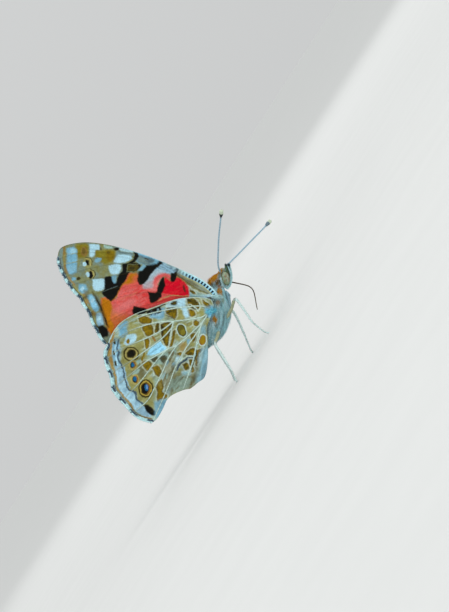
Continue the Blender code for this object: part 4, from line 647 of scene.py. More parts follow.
def to_world(points):
    """Plan points, rows of u, v, side, in metres above the floor."""
    p = np.asarray(points, float)
    x = math.cos(PLAN_TURN) * p[:, 0] + math.sin(PLAN_TURN) * p[:, 1] + AHEAD
    z = math.cos(PLAN_TURN) * p[:, 1] - math.sin(PLAN_TURN) * p[:, 0] + ROOT_HEIGHT
    return np.stack([x, p[:, 2], z], 1) * MM


def spline(points, step):
    """Smooth curve through rows of numbers, as rows about one step apart in the plan."""
    pts = [np.array(p, float) for p in points]
    pts = [2 * pts[0] - pts[1]] + pts + [2 * pts[-1] - pts[-2]]
    curve = []
    for a, b, c, d in zip(pts, pts[1:], pts[2:], pts[3:]):
        pieces = max(1, round(float(np.linalg.norm((c - b)[:3])) / step))
        for i in range(pieces):
            t = i / pieces
            curve.append(0.5 * (2 * b + (c - a) * t + (2 * a - 5 * b + 4 * c - d) * t * t
                                + (3 * b - a - 3 * c + d) * t ** 3))
    return np.array(curve + [pts[-2]])


def scallops(ends, step):
    """Wing margin from vein end to vein end, each stretch bowed out by its own third value."""
    line = []
    for (u0, v0, bow), (u1, v1, _) in zip(ends, ends[1:]):
        a, b = np.array((u0, v0)), np.array((u1, v1))
        span = b - a
        out = np.array((span[1], -span[0])) / np.linalg.norm(span)
        pieces = max(2, round(float(np.linalg.norm(span)) / step))
        for i in range(pieces):
            t = i / pieces
            line.append(a + span * t + out * bow * math.sin(math.pi * t))
    return np.array(line)


def ripple(points, size, seed):
    """Smooth noise from -1 to 1 over plan points, with lumps about the size given."""
    rng = np.random.default_rng(seed)
    lattice = rng.uniform(-1.0, 1.0, (LATTICE, LATTICE))
    p = points / size
    low = np.floor(p).astype(int)
    t = smooth(p - low)
    u0, v0 = low[:, 0] % LATTICE, low[:, 1] % LATTICE
    u1, v1 = (u0 + 1) % LATTICE, (v0 + 1) % LATTICE
    bottom = lattice[u0, v0] * (1 - t[:, 0]) + lattice[u1, v0] * t[:, 0]
    top = lattice[u0, v1] * (1 - t[:, 0]) + lattice[u1, v1] * t[:, 0]
    return bottom * (1 - t[:, 1]) + top * t[:, 1]


def line_distance(points, line):
    """Distance of plan points to a run of points, and how far along it they are, 0 to 1."""
    best = np.full(len(points), 1e9)
    along = np.zeros(len(points))
    for i, (a, b) in enumerate(zip(line, line[1:])):
        span = b - a
        t = np.clip(((points - a) @ span) / max(1e-12, span @ span), 0.0, 1.0)
        d = np.hypot(*(points - a - t[:, None] * span).T)
        nearer = d < best
        best[nearer] = d[nearer]
        along[nearer] = (i + t[nearer]) / (len(line) - 1)
    return best, along


def is_inside(points, ring):
    """Which plan points lie within a closed ring."""
    hit = np.zeros(len(points), bool)
    for a, b in zip(ring, np.roll(ring, -1, 0)):
        if a[1] != b[1]:
            crossing = (a[1] > points[:, 1]) != (b[1] > points[:, 1])
            hit ^= crossing & (points[:, 0] < a[0] + (points[:, 1] - a[1]) * (b[0] - a[0]) / (b[1] - a[1]))
    return hit


def fore_spread(points):
    """Forewing's distance from the animal's middle plane."""
    distance, _ = line_distance(points, np.array(BODY_AXIS))
    return FORE_FLAT + FORE_SPREAD * (1.0 - smooth(distance / FORE_REACH))


def hind_spread(points):
    """Hindwing's distance from the middle plane."""
    distance, along = line_distance(points, np.array(BODY_AXIS))
    spread = HIND_SPREAD + (HIND_SPREAD_REAR - HIND_SPREAD) * smooth((along - 0.5) / 0.25)
    dip = 1.0 - smooth(np.hypot(*(points - np.array(HIND_ROOT)).T) / ROOT_DIP_REACH)
    flat = smooth((distance - 1.5) / (HIND_REACH - 1.5))
    return HIND_FLAT + spread * (1.0 - flat) - ROOT_DIP * dip


def brush(colour, mask, tint, strength=1.0):
    """Lay a tint over the colours where the mask says."""
    mask = (mask * strength)[:, None]
    colour += (linear(tint) - colour) * mask


def run_along(rows):
    """Distance run along rows of points, at each of them."""
    return np.append(0.0, np.cumsum(np.linalg.norm(np.diff(rows, axis=0), axis=1)))


def closed(ring):
    """Ring of points carried on to its start."""
    return np.vstack([ring, ring[:1]])


def near(points, line, reach):
    """Indices of the plan points within reach of a line's box."""
    return np.nonzero(((points > line.min(0) - reach) & (points < line.max(0) + reach)).all(1))[0]


def turned(points, lean):
    """Plan points measured along and across a direction."""
    return (points[:, 0] * math.cos(lean) + points[:, 1] * math.sin(lean),
            points[:, 1] * math.cos(lean) - points[:, 0] * math.sin(lean))


def wobble(points, size, first, second):
    """Smooth noise in both directions of the plan."""
    return np.stack([ripple(points, size, first), ripple(points, size, second)], 1)


def plain(tint, count):
    """Rows of one tint."""
    return np.tile(linear(tint), (count, 1))


def paint(points, colour, marks):
    """Lay the markings over the colours of plan points, in order."""
    for kind, tint, size, shape, *strength in marks:
        shape = np.array(shape, float)
        picked = near(points, shape, np.max(size) + 0.6)
        if not len(picked):
            continue
        p, some = points[picked], colour[picked]
        if kind == "line":
            distance, _ = line_distance(p, spline(shape, MARK_STEP))
            mask = smooth(0.5 - (distance - size) / 0.14)
        elif kind == "spot":
            ru, rv, lean = size
            mask = np.zeros(len(p))
            for centre in shape:
                a, b = turned(p - centre, lean)
                r = np.hypot(a / ru, b / rv)
                mask = np.maximum(mask, smooth(0.5 - (r - 1.0) * min(ru, rv) / 0.16))
        else:
            ring = spline(closed(shape), MARK_STEP)[:-1]
            distance, _ = line_distance(p, closed(ring))
            distance[is_inside(p, ring)] *= -1.0
            mask = smooth(0.5 - distance / (2.0 * np.ravel(size)[0] + 0.05))
        if kind == "streaks":
            _, lean, pitch = size
            along, across = turned(p, lean)
            hatch = ripple(np.column_stack([along * 0.3, across]), pitch, HATCH_SEED)
            mask = mask * smooth(0.4 + 1.9 * hatch)
        if kind == "patch":
            brush(some, smooth((0.36 - distance) / 0.2), "cream", 0.6)
        brush(some, mask, tint, *strength)
        if kind == "patch":
            brush(some, mask * smooth((distance + 0.32) / 0.3), "umber", 0.7)
            brush(some, mask * smooth(0.1 + 1.8 * ripple(p, 0.34, 9)), "bark", 0.55)
            brush(some, mask * smooth(-0.1 + 1.8 * ripple(p, 0.26, 10)), "honey", 0.5)
        colour[picked] = some


def add_node(tree, kind, values=None, **settings):
    """New shader node with its settings, then the values of its inputs."""
    node = tree.nodes.new(f"ShaderNode{kind}")
    for name, value in settings.items():
        setattr(node, name, value)
    for socket, value in (values or {}).items():
        node.inputs[socket].default_value = value
    return node


def join(tree, *links):
    """Link nodes: each link is a node and its output, then a node and its input."""
    for start, out, end, into in links:
        tree.links.new(start.outputs[out], end.inputs[into])


def dust_group():
    """Node group: the powder of fine scales or hairs, as a tint and a relief."""
    found = bpy.data.node_groups.get("Scale dust")
    if found:
        return found
    tree = bpy.data.node_groups.new("Scale dust", "ShaderNodeTree")
    face = tree.interface
    face.new_socket("Colour", in_out="INPUT", socket_type="NodeSocketColor")
    for name, value in (("Amount", 0.3), ("Grain", 6000.0), ("Rows", 9000.0)):
        face.new_socket(name, in_out="INPUT", socket_type="NodeSocketFloat").default_value = value
    face.new_socket("Colour", in_out="OUTPUT", socket_type="NodeSocketColor")
    for name in ("Roughness", "Height"):
        face.new_socket(name, in_out="OUTPUT", socket_type="NodeSocketFloat")
    start, end = tree.nodes.new("NodeGroupInput"), tree.nodes.new("NodeGroupOutput")
    where = add_node(tree, "TexCoord")
    grain = add_node(tree, "TexNoise", {"Detail": 3.0, "Roughness": 0.7})
    scales = add_node(tree, "TexVoronoi", {"Randomness": 0.8})
    level = add_node(tree, "MapRange", {"From Min": 0.3, "From Max": 0.7, "To Min": -1.0, "To Max": 1.0})
    each = add_node(tree, "SeparateColor")
    spread = add_node(tree, "Math", operation="MULTIPLY_ADD", values={1: 1.2, 2: -0.6})
    both = add_node(tree, "Math", operation="ADD")
    gain = add_node(tree, "Math", operation="MULTIPLY_ADD", values={2: 1.0})
    tinted = add_node(tree, "VectorMath", operation="SCALE")
    rough = add_node(tree, "MapRange", {"To Min": 0.55, "To Max": 0.85})
    join(tree, (where, "Object", grain, "Vector"), (start, "Grain", grain, "Scale"),
         (where, "Object", scales, "Vector"), (start, "Rows", scales, "Scale"),
         (grain, "Fac", level, "Value"), (scales, "Color", each, "Color"), (each, "Red", spread, 0),
         (level, "Result", both, 0), (spread, "Value", both, 1),
         (both, "Value", gain, 0), (start, "Amount", gain, 1),
         (start, "Colour", tinted, 0), (gain, "Value", tinted, "Scale"), (tinted, "Vector", end, "Colour"),
         (grain, "Fac", rough, "Value"), (rough, "Result", end, "Roughness"),
         (scales, "Distance", end, "Height"))
    return tree


# Powder of each surface: amount, grain, rows of scales, relief, and the shader's own values
LOOKS = {
    "Wing scales": (0.1, 3500.0, 8000.0, 0.35, {"Specular IOR Level": 0.12}),
    "Hair": (0.16, 5000.0, 15000.0, 0.2, {"Specular IOR Level": 0.2}),
    "Eye": (0.12, 2600.0, 26000.0, 0.5, {"Roughness": 0.22, "Coat Weight": 0.4}),
    "Horn": (0.12, 7000.0, 20000.0, 0.4, {"Specular IOR Level": 0.4}),
}


def get_material(name):
    """Named surface: its colours lie on the mesh, under a powder of scales or hairs."""
    made = bpy.data.materials.get(name)
    if made:
        return made
    made = bpy.data.materials.new(name)
    made.use_nodes = True
    tree = made.node_tree
    amount, grain, rows, relief, gloss = LOOKS[name]
    shader = tree.nodes["Principled BSDF"]
    ground = add_node(tree, "Attribute", attribute_name="tint")
    dust = add_node(tree, "Group", {"Amount": amount, "Grain": grain, "Rows": rows}, node_tree=dust_group())
    bump = add_node(tree, "Bump", {"Strength": relief, "Distance": RELIEF_DEPTH})
    join(tree, (ground, "Color", dust, "Colour"), (dust, "Colour", shader, "Base Color"),
         (dust, "Height", bump, "Height"), (bump, "Normal", shader, "Normal"))
    if "Roughness" not in gloss:
        join(tree, (dust, "Roughness", shader, "Roughness"))
    for socket, value in gloss.items():
        shader.inputs[socket].default_value = value
    return made


def make_piece(name, points, faces, tints, look, replaces, uv=None):
    """Mesh piece from plan points and their linear tints, riding on the body.

    Faces are arrays of corners, and the unwrap has one array of places for each of them.
    """
    mesh = bpy.data.meshes.new(name)
    mesh.from_pydata([], [], [])
    world = to_world(points).astype(np.float32)
    corners = np.concatenate([f.ravel() for f in faces]).astype(np.int32)
    sizes = np.concatenate([np.full(len(f), f.shape[1]) for f in faces]).astype(np.int32)
    starts = np.concatenate([[0], np.cumsum(sizes)[:-1]]).astype(np.int32)
    mesh.vertices.add(len(world))
    mesh.vertices.foreach_set("co", world.ravel())
    mesh.loops.add(len(corners))
    mesh.loops.foreach_set("vertex_index", corners)
    mesh.polygons.add(len(sizes))
    mesh.polygons.foreach_set("loop_start", starts)
    mesh.update(calc_edges=True)
    layer = mesh.color_attributes.new("tint", "FLOAT_COLOR", "POINT")
    rgba = np.ones((len(world), 4), np.float32)
    rgba[:, :3] = tints
    layer.data.foreach_set("color", rgba.ravel())
    if uv is not None:
        unwrap = mesh.uv_layers.new(name="OFBake")
        places = np.concatenate([np.asarray(u, np.float32).reshape(-1, 2) for u in uv])
        unwrap.data.foreach_set("uv", places.ravel())
    mesh.shade_smooth()
    obj = bpy.data.objects.new(name, mesh)
    bpy.context.scene.collection.objects.link(obj)
    mesh.materials.append(get_material(look))
    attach(obj, "root")
    if replaces:
        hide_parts(*replaces)


def staggered(low, high, step, rise):
    """Plan points in rows over a box, every second row half a step along."""
    rows, columns = np.arange(low[1], high[1], rise), np.arange(low[0], high[0], step)
    return np.array([(u + (0.5 * step if i % 2 else 0.0), v) for i, v in enumerate(rows) for u in columns])


def flat_sheet(ring, spacing, close_line=None):
    """Fine triangles over the area within a ring: plan points, ring points first, and faces.

    Beside the close line they are finer still.
    """
    grid = staggered(ring.min(0), ring.max(0), spacing, spacing * 0.866)
    grid = grid[is_inside(grid, ring)]
    edge, _ = line_distance(grid, closed(ring))
    grid = grid[edge > 0.55 * spacing]
    if close_line is not None:
        low = close_line.min(0) - (0.0, 1.1)
        extra = staggered(low, close_line.max(0), CLOSE_STEP, CLOSE_STEP)
        beside, _ = line_distance(extra, close_line)
        extra = extra[(beside < 0.92) & (beside > 0.04)]
        extra = extra[is_inside(extra, ring)]
        apart, _ = line_distance(grid, close_line)
        grid = np.vstack([grid[apart > 0.97], extra])
    points = [Vector(p) for p in np.vstack([ring, grid])]
    flat, _, faces, _, _, _ = delaunay_2d_cdt(points, [], [list(range(len(ring)))], 1, 1e-7)
    return np.array([tuple(p) for p in flat]), np.array(faces)


def vein_height(points, veins, width):
    """How near each plan point is to a vein's crest, 0 to 1."""
    height = np.zeros(len(points))
    for route in veins.values():
        line = spline(route, 0.5)
        picked = near(points, line, 4 * width)
        distance, along = line_distance(points[picked], line)
        crest = np.exp(-(distance / (width * (1.15 - 0.45 * along))) ** 2)
        height[picked] = np.maximum(height[picked], crest)
    return height


def blades(roots, ways, sides, lengths, widths, droop, root_tints, tip_tints):
    """Closed three-sided hairs: points, faces and tints. Rows of roots, ways and side vectors."""
    ways = ways / np.linalg.norm(ways, axis=1)[:, None]
    across = np.cross(ways, sides)
    across /= np.maximum(1e-9, np.linalg.norm(across, axis=1))[:, None]
    over = np.cross(across, ways)
    points, tints = [], []
    for share, thin in ((0.0, 0.8), (0.35, 1.0), (0.72, 0.62)):
        spine = roots + ways * (lengths * share)[:, None] + droop * (lengths * share ** 2)[:, None]
        for k in range(3):
            turn = FULL_TURN * k / 3.0
            rim = across * math.cos(turn) + over * (0.45 * math.sin(turn))
            points.append(spine + rim * (0.5 * widths * thin)[:, None])
            tints.append(root_tints + (tip_tints - root_tints) * share)
    points.append(roots + ways * lengths[:, None] + droop * lengths[:, None])
    tints.append(tip_tints)
    faces = []
    for a in (0, 3):
        for k in range(3):
            b = (k + 1) % 3
            faces += [(a + k, a + b, a + 3 + b), (a + k, a + 3 + b, a + 3 + k)]
    faces += [(6, 7, 9), (7, 8, 9), (8, 6, 9), (2, 1, 0)]
    faces = (np.array(faces)[None] + 10 * np.arange(len(roots))[:, None, None]).reshape(-1, 3)
    return np.stack(points, 1).reshape(-1, 3), [faces], np.stack(tints, 1).reshape(-1, 3)


def patches(places):
    """Unwrap places of blades: a small triangle patch round each root's own place."""
    rim = np.array([(math.cos(a), math.sin(a)) for a in (0.5, 2.6, 4.7)])
    shape = np.vstack([rim * 0.0015, rim * 0.001, rim * 0.0006, [(0.0, 0.0)]])
    return (np.clip(places, 0.003, 0.997)[:, None, :] + shape[None]).reshape(-1, 2)


def margin_bands(points, colour, ends, depth, rim=0.0):
    """Paint the fringe: white between the veins, with dark marks inside the rim at their ends."""
    for (u0, v0, bow), (u1, v1, _) in zip(ends, ends[1:]):
        stretch = scallops(((u0, v0, bow), (u1, v1, 0.0)), 0.2)
        stretch = np.vstack([stretch, [(u1, v1)]])
        picked = near(points, stretch, 1.2)
        distance, along = line_distance(points[picked], stretch)
        some = colour[picked]
        wave = 0.05 * ripple(points[picked], 0.25, 31)
        span = smooth((0.28 - np.abs(along - 0.5) + wave) / 0.1) * (distance < 2.0)
        edge = smooth((depth - distance + wave) / 0.12)
        line = smooth((depth + 0.24 - distance + wave) / 0.1)
        brush(some, line * (1 - edge) * (along > 0.01) * (along < 0.99), "umber", 0.6)
        brush(some, edge, "frost", 0.9)
        brush(some, edge * (1 - span) * smooth((distance - rim + wave) / 0.1), "navy", 0.95)
        colour[picked] = some


def fore_colours(points, costa):
    """Underside of the forewing as linear colours."""
    colour = plain("olive_grey", len(points))
    brush(colour, smooth(0.5 + 1.5 * ripple(points, 1.1, 3)), "grey", 0.6)
    brush(colour, smooth(0.2 + 1.6 * ripple(points, 0.5, 4)), "olive", 0.35)
    bent = points + 0.1 * wobble(points, 0.6, 5, 6) + 0.06 * wobble(points, 0.16, 6, 5)
    paint(bent, colour, FORE_UNDER)
    brush(colour, vein_height(points, FORE_VEINS, 0.09), "bark", 0.16)
    distance, along = line_distance(points, costa)
    run = np.interp(along * (len(costa) - 1), np.arange(len(costa)), run_along(costa))
    near_root = smooth((-points[:, 0] - 1.0) / 0.4) * smooth((9.2 + points[:, 0]) / 3.0)
    brush(colour, smooth((0.13 - np.abs(distance - 1.0)) / 0.1) * near_root, "straw", 0.9)
    dashes = smooth(0.7 + 2.0 * np.sin(FULL_TURN * run / DASH_PITCH))
    banded = smooth((0.32 - np.abs(distance - 0.55)) / 0.08)
    dashed = banded * smooth((-points[:, 0] - 1.3) / 0.2) * smooth((8.8 + points[:, 0]) / 3.0)
    brush(colour, smooth((0.9 - distance) / 0.1) * near_root, "frost", 0.85)
    brush(colour, dashed, "sky", 0.6)
    brush(colour, dashed * dashes, "navy", 1.0)
    brush(colour, dashed * dashes, "ink", 0.3)
    outer = smooth((-points[:, 0] - 19.0) / 2.0)
    brush(colour, smooth((0.14 - distance) / 0.1) * outer, "umber", 0.6)
    brush(colour, smooth((0.16 - distance) / 0.1) * (1.0 - outer), "white", 0.6)
    margin_bands(points, colour, FORE_MARGIN, 0.5)
    brush(colour, smooth(-0.35 + 1.4 * ripple(points, 0.3, 8)), "dusk", 0.12)
    return colour * (1.0 + 0.10 * ripple(points, 0.2, 7) + 0.08 * ripple(points, 0.7, 6))[:, None]


def hind_colours(points, costa):
    """Underside of the hindwing as linear colours."""
    colour = plain("tan", len(points))
    from_root = points - np.array(HIND_ROOT)
    reach = np.hypot(*from_root.T)
    turn = np.arctan2(from_root[:, 0], -from_root[:, 1])
    rays = ripple(np.column_stack([turn * 40.0, reach * 0.6]), 1.0, 12)
    brush(colour, smooth(0.2 + 1.6 * ripple(points, 0.8, 14)), "pale", 0.4)
    brush(colour, smooth(-0.3 + 1.6 * ripple(points * (1.0, 2.4), 0.6, 13)), "drab", 0.5)
    brush(colour, vein_height(points, HIND_VEINS, 0.36), "pale", 0.55)
    brush(colour, smooth(-0.2 + 1.5 * rays), "white", 0.35)
    brush(colour, smooth(-0.2 - 1.5 * rays), "bark", 0.3)
    bent = points + 0.1 * wobble(points, 0.6, 15, 16) + 0.06 * wobble(points, 0.16, 16, 15)
    paint(bent, colour, HIND_UNDER)
    colour *= (1.0 + 0.14 * rays)[:, None]
    # Painted shadow: a brown-grey edge along each vein, for the shade beside its raised crest, with the pale
    # vein painted over its middle next
    crest = vein_height(points, HIND_VEINS, 0.22)
    brush(colour, smooth(crest * 1.8 - 0.5), "drab", 0.45)
    crest = vein_height(points, HIND_VEINS, 0.095)
    inside = (0.3 + 0.7 * smooth((points[:, 0] + 18.2) / 3.5)) * (0.25 + 0.75 * smooth((reach - 1.1) / 0.8))
    brush(colour, smooth(crest * 1.7 - 0.3) * inside, "vein", 0.95)
    distance, _ = line_distance(points, costa)
    brush(colour, smooth((0.2 - distance) / 0.12), "vein", 0.6)
    margin_bands(points, colour, HIND_MARGIN, 0.66, 0.18)
    brush(colour, smooth(-0.35 + 1.4 * ripple(points, 0.3, 18)), "bark", 0.16)
    return colour * (1.0 + 0.10 * ripple(points, 0.2, 17) + 0.08 * ripple(points, 0.7, 16))[:, None]


def upper_colours(points, marks, margin, seed):
    """Upper side of a wing as linear colours."""
    colour = plain("ink", len(points))
    brush(colour, smooth(0.5 + ripple(points, 1.5, seed)), "dusk", 0.7)
    paint(points + 0.15 * wobble(points, 0.8, seed + 1, seed + 2), colour, marks)
    margin_bands(points, colour, margin, 0.45)
    return colour


# Wings: front edge, outer margin, inner margin, veins, distance from the middle plane, underside's
# colours, upper side's markings, place of the sheet in the solid, paleness of the fringe's tips, seed
WINGS = {
    "forewing": (FORE_COSTA, FORE_MARGIN, FORE_INNER, FORE_VEINS, fore_spread, fore_colours, FORE_UPPER,
                 FORE_MIDDLE, 0.2, 101),
    "hindwing": (HIND_COSTA, HIND_MARGIN, HIND_INNER, HIND_VEINS, hind_spread, hind_colours, HIND_UPPER,
                 HIND_MIDDLE, 0.75, 201),
}


def wing_surfaces(kind):
    """Both faces and the fringe of a wing: points, faces, tints and unwrap."""
    costa, margin, inner, veins, spread, colours, upper_marks, middle, pale_tips, seed = WINGS[kind]
    sizes = bpy.context.scene.butterfly_sizes
    spacing, half_thick = sizes.wing_mesh / MM, 0.5 * sizes.wing_thickness / MM
    front = spline(costa, 0.1)
    ring = np.vstack([front[:-1], scallops(margin, 0.1), spline(inner, 0.1)])
    ring = ring[np.hypot(*(ring - np.roll(ring, 1, 0)).T) > 0.02]
    close_line = front[(front[:, 0] > -8.6) & (front[:, 0] < -1.0)] if kind == "forewing" else None
    outer, outer_faces = flat_sheet(ring, spacing, close_line)
    upper, upper_faces = flat_sheet(ring, 2.2 * spacing)
    low, size = ring.min(0), (ring.max(0) - ring.min(0)).max() * 1.04
    count, n = len(outer), len(ring)
    parts, places = [], []
    for points, sense, shift in ((outer, 1.0, 0.0), (upper, -1.0, 0.5)):
        edge, _ = line_distance(points, closed(ring))
        rise = sizes.vein_relief / MM * vein_height(points, veins, 0.13) * smooth(edge / 0.5)
        rise -= 0.06 * (1.0 - vein_height(points, veins, 0.9))
        sag = (0.10 * ripple(points, 3.4, seed) + 0.03 * ripple(points, 1.1, seed + 1)) * smooth(edge / 1.5)
        away = spread(points) + middle + sense * half_thick + sense * rise * smooth(edge / 0.6) + sag
        parts.append(np.column_stack([points, away]))
        places.append(WING_UV_EDGE + WING_UV_SPAN * ((points - low) / size) + (shift, 0.0))
    tints = [colours(outer, front), upper_colours(upper, upper_marks, margin, seed + 5)]
    tints[1][:n] = tints[0][:n]
    starts, fringe, hairs, hair_tints = wing_fringe(margin, spread, middle, seed, pale_tips)
    rim = np.array([(i, count + i, count + (i + 1) % n, (i + 1) % n) for i in range(n)])
    faces = [outer_faces, count + upper_faces[:, ::-1], rim, hairs[0] + count + len(upper)]
    places.append(patches(WING_UV_EDGE + WING_UV_SPAN * ((starts - low) / size)))
    places = np.vstack(places)
    uv = [places[f] for f in faces]
    after = np.roll(places[:n], -1, 0)
    beyond = np.column_stack([after[:, 1] - places[:n, 1], places[:n, 0] - after[:, 0]])
    beyond *= 0.0015 / np.linalg.norm(beyond, axis=1)[:, None]
    uv[2] = np.stack([places[:n], places[:n] + beyond, after + beyond, after], 1)
    return np.vstack(parts + [fringe]), faces, np.vstack(tints + [hair_tints]), uv


def wing_fringe(margin, spread, middle, seed, pale_tips):
    """Fine scales that stand out along a wing's outer margin: their roots, points, faces and tints."""
    rng = np.random.default_rng(seed + 40)
    fringe = bpy.context.scene.butterfly_sizes.fringe / MM
    line = np.vstack([scallops(margin, 0.05), [margin[-1][:2]]])
    way = np.gradient(line, axis=0)
    out = np.column_stack([way[:, 1], -way[:, 0]])
    out /= np.linalg.norm(out, axis=1)[:, None]
    line, out = np.repeat(line, 2, 0), np.repeat(out, 2, 0)
    count = len(line)
    ways = out + rng.normal(0.0, 0.16, (count, 2))
    lengths = fringe * rng.uniform(0.75, 1.2, count)
    start = line - out * (fringe * rng.uniform(0.75, 0.9, count))[:, None]
    tint = plain("umber", count)
    margin_bands(start + out * 0.12, tint, margin, 0.9)
    level = spread(start) + middle + rng.uniform(-0.07, 0.07, count)
    ways = np.column_stack([ways, rng.normal(0.0, 0.05, count)])
    shade = rng.uniform(0.8, 1.1, count)[:, None]
    widths = rng.uniform(0.09, 0.14, count)
    tips = tint + (linear("frost") - tint) * pale_tips
    hairs = blades(np.column_stack([start, level]), ways, np.tile((0.0, 0.0, 1.0), (count, 1)), lengths,
                   widths, np.zeros((count, 3)), tint * shade, tips * shade)
    return start, *hairs


def make_wings(kind):
    """Left and right wing from one set of surfaces."""
    points, faces, tints, uv = wing_surfaces(kind)
    for letter, sign in SIDES:
        order = slice(None) if sign < 0 else slice(None, None, -1)
        make_piece(f"{kind}_scales_{letter}", points * (1.0, 1.0, sign), [f[:, order] for f in faces],
                   tints, "Wing scales", [f"{kind}_{letter}"], [u[:, order] for u in uv])


def frames_along(rows):
    """Unit directions along a run of points and two unit vectors across it."""
    along = np.gradient(rows, axis=0)
    along /= np.linalg.norm(along, axis=1)[:, None]
    across = np.column_stack([-along[:, 1], along[:, 0], np.zeros(len(rows))])
    across /= np.linalg.norm(across, axis=1)[:, None]
    return along, across, np.cross(along, across)


def closed_faces(count, sides):
    """Faces of a closed run of rings, whose two end points come after them."""
    k = np.arange(sides)
    b = (k + 1) % sides
    ring = sides * np.arange(count - 1)[:, None]
    quads = np.stack([ring + k, ring + b, ring + b + sides, ring + k + sides], -1).reshape(-1, 4)
    end, last = np.full(sides, count * sides), (count - 1) * sides
    caps = np.stack([b, k, end, last + k, last + b, end + 1], -1).reshape(-1, 3)
    return [quads, caps]


def tube(rows, deep, wide, sides):
    """Closed tube round a run of points: points, faces, each point's row and its turn round."""
    _, across, out = frames_along(rows)
    turn = FULL_TURN * np.arange(sides) / sides
    ring = (across[:, None] * (deep[:, None] * np.cos(turn))[..., None]
            + out[:, None] * (wide[:, None] * np.sin(turn))[..., None])
    points = np.vstack([(rows[:, None] + ring).reshape(-1, 3), rows[0], rows[-1]])
    n = len(rows)
    index = np.append(np.repeat(np.arange(n), sides), [0, n - 1])
    return points, closed_faces(n, sides), index, np.append(np.tile(turn, n), [0.0, 0.0])


def merge(parts):
    """One set of points, faces and tints from several."""
    points, faces, tints, count = [], [], [], 0
    for some, lists, tint in parts:
        points.append(some)
        faces += [f + count for f in lists]
        tints.append(tint)
        count += len(some)
    return np.vstack(points), faces, np.vstack(tints)


def unwrapped(turn, share):
    """Unwrap places of points on a tube, by turn round it and share along it."""
    return np.column_stack([UV_EDGE + UV_SPAN * turn / FULL_TURN, UV_EDGE + UV_SPAN * share])


def tube_hairs(rows, deep, wide, count, rng):
    """Hairs on a tube: share along it, turn round it, roots, ways along and outward ways."""
    along, across, out = frames_along(rows)
    t = rng.uniform(0.0, len(rows) - 1.001, count)
    i = t.astype(int)
    f = (t - i)[:, None]
    turn = rng.uniform(0.0, FULL_TURN, count)
    roots = rows[i] * (1 - f) + rows[i + 1] * f
    roots = roots + across[i] * (deep[i] * np.cos(turn))[:, None] + out[i] * (wide[i] * np.sin(turn))[:, None]
    normal = across[i] * np.cos(turn)[:, None] + out[i] * np.sin(turn)[:, None]
    return t / len(rows), turn, roots, along[i], normal


def hairy_piece(name, sign, skin, hairs, places, replaces):
    """Piece of a small hairy tube on either side, from its skin, its hairs and their unwrap places."""
    points, faces, tints = merge([skin, hairs])
    faces = [g if sign > 0 else g[:, ::-1] for g in faces]
    make_piece(name, points * (1.0, 1.0, sign), faces, tints, "Hair", replaces,
               [places[g] for g in faces])


def skin_rows():
    """Skin's middle line, its radii and the distance run along it."""
    line = spline(SKIN, 0.11)
    run = run_along(line[:, :2])
    ring = 0.5 + 0.5 * np.cos(FULL_TURN * run / ABDOMEN_RING)
    swell = 1.0 - 0.05 * ring * smooth((run - ABDOMEN_START) / 1.5)
    rows = np.column_stack([line[:, :2], np.zeros(len(line))])
    return rows, line[:, 2] * swell, line[:, 3] * swell, run


def body_colours(points, run):
    """Colours of skin and coat at plan points, by how far along the body they are."""
    flat = points[:, :2] + 0.4 * points[:, 2:3]
    streak = ripple(flat * (2.6, 0.45), 0.8, COAT_SEED)
    colour = plain("teal", len(points))
    brush(colour, smooth(0.2 + 1.8 * streak), "haze", 0.8)
    brush(colour, smooth(-0.4 - 2.0 * streak), "grey", 0.6)
    middle = np.interp(run, [0.0, 2.0, 6.0, 12.0, 30.0], [0.3, -0.6, -1.3, -1.2, -6.0])
    back = smooth((middle - 0.7 - points[:, 0]) / 0.9) * smooth((8.5 - run) / 3.5)
    crown = smooth((2.0 - run) / 0.7) * smooth((0.75 - points[:, 0]) / 0.4)
    brush(colour, np.maximum(back, crown), "fawn", 0.9)
    paint(points[:, :2], colour, COAT_MARKS)
    rear = smooth((run - ABDOMEN_START) / 1.5)
    dorsal = smooth((middle - points[:, 0]) / 0.8)
    brush(colour, rear * dorsal, "bark", 0.6)
    brush(colour, rear * (1.0 - dorsal), "tan", 0.7)
    return colour


def make_skin():
    """One skin over head, thorax and abdomen."""
    rows, deep, wide, run = skin_rows()
    points, faces, index, _ = tube(rows, deep, wide, SKIN_SIDES)
    runs = run[index]
    points[:, 2] += 0.02 * ripple(points[:, :2], 0.35, 51) * np.sign(points[:, 2])
    tint = body_colours(points, runs) * 0.7
    uv = []
    for corners in faces:
        turn = np.where(corners < len(rows) * SKIN_SIDES, corners % SKIN_SIDES, 0).astype(float)
        seam = np.ptp(turn, axis=1) > SKIN_SIDES / 2
        turn[seam[:, None] & (turn < SKIN_SIDES / 2)] += SKIN_SIDES
        level = runs[corners] / run[-1]
        uv.append(np.stack([UV_EDGE + UV_SPAN * turn / SKIN_SIDES, UV_EDGE + UV_SPAN * level], -1))
    make_piece("body_skin", points, faces, tint, "Hair", ["thorax", "abdomen", "head"], uv)


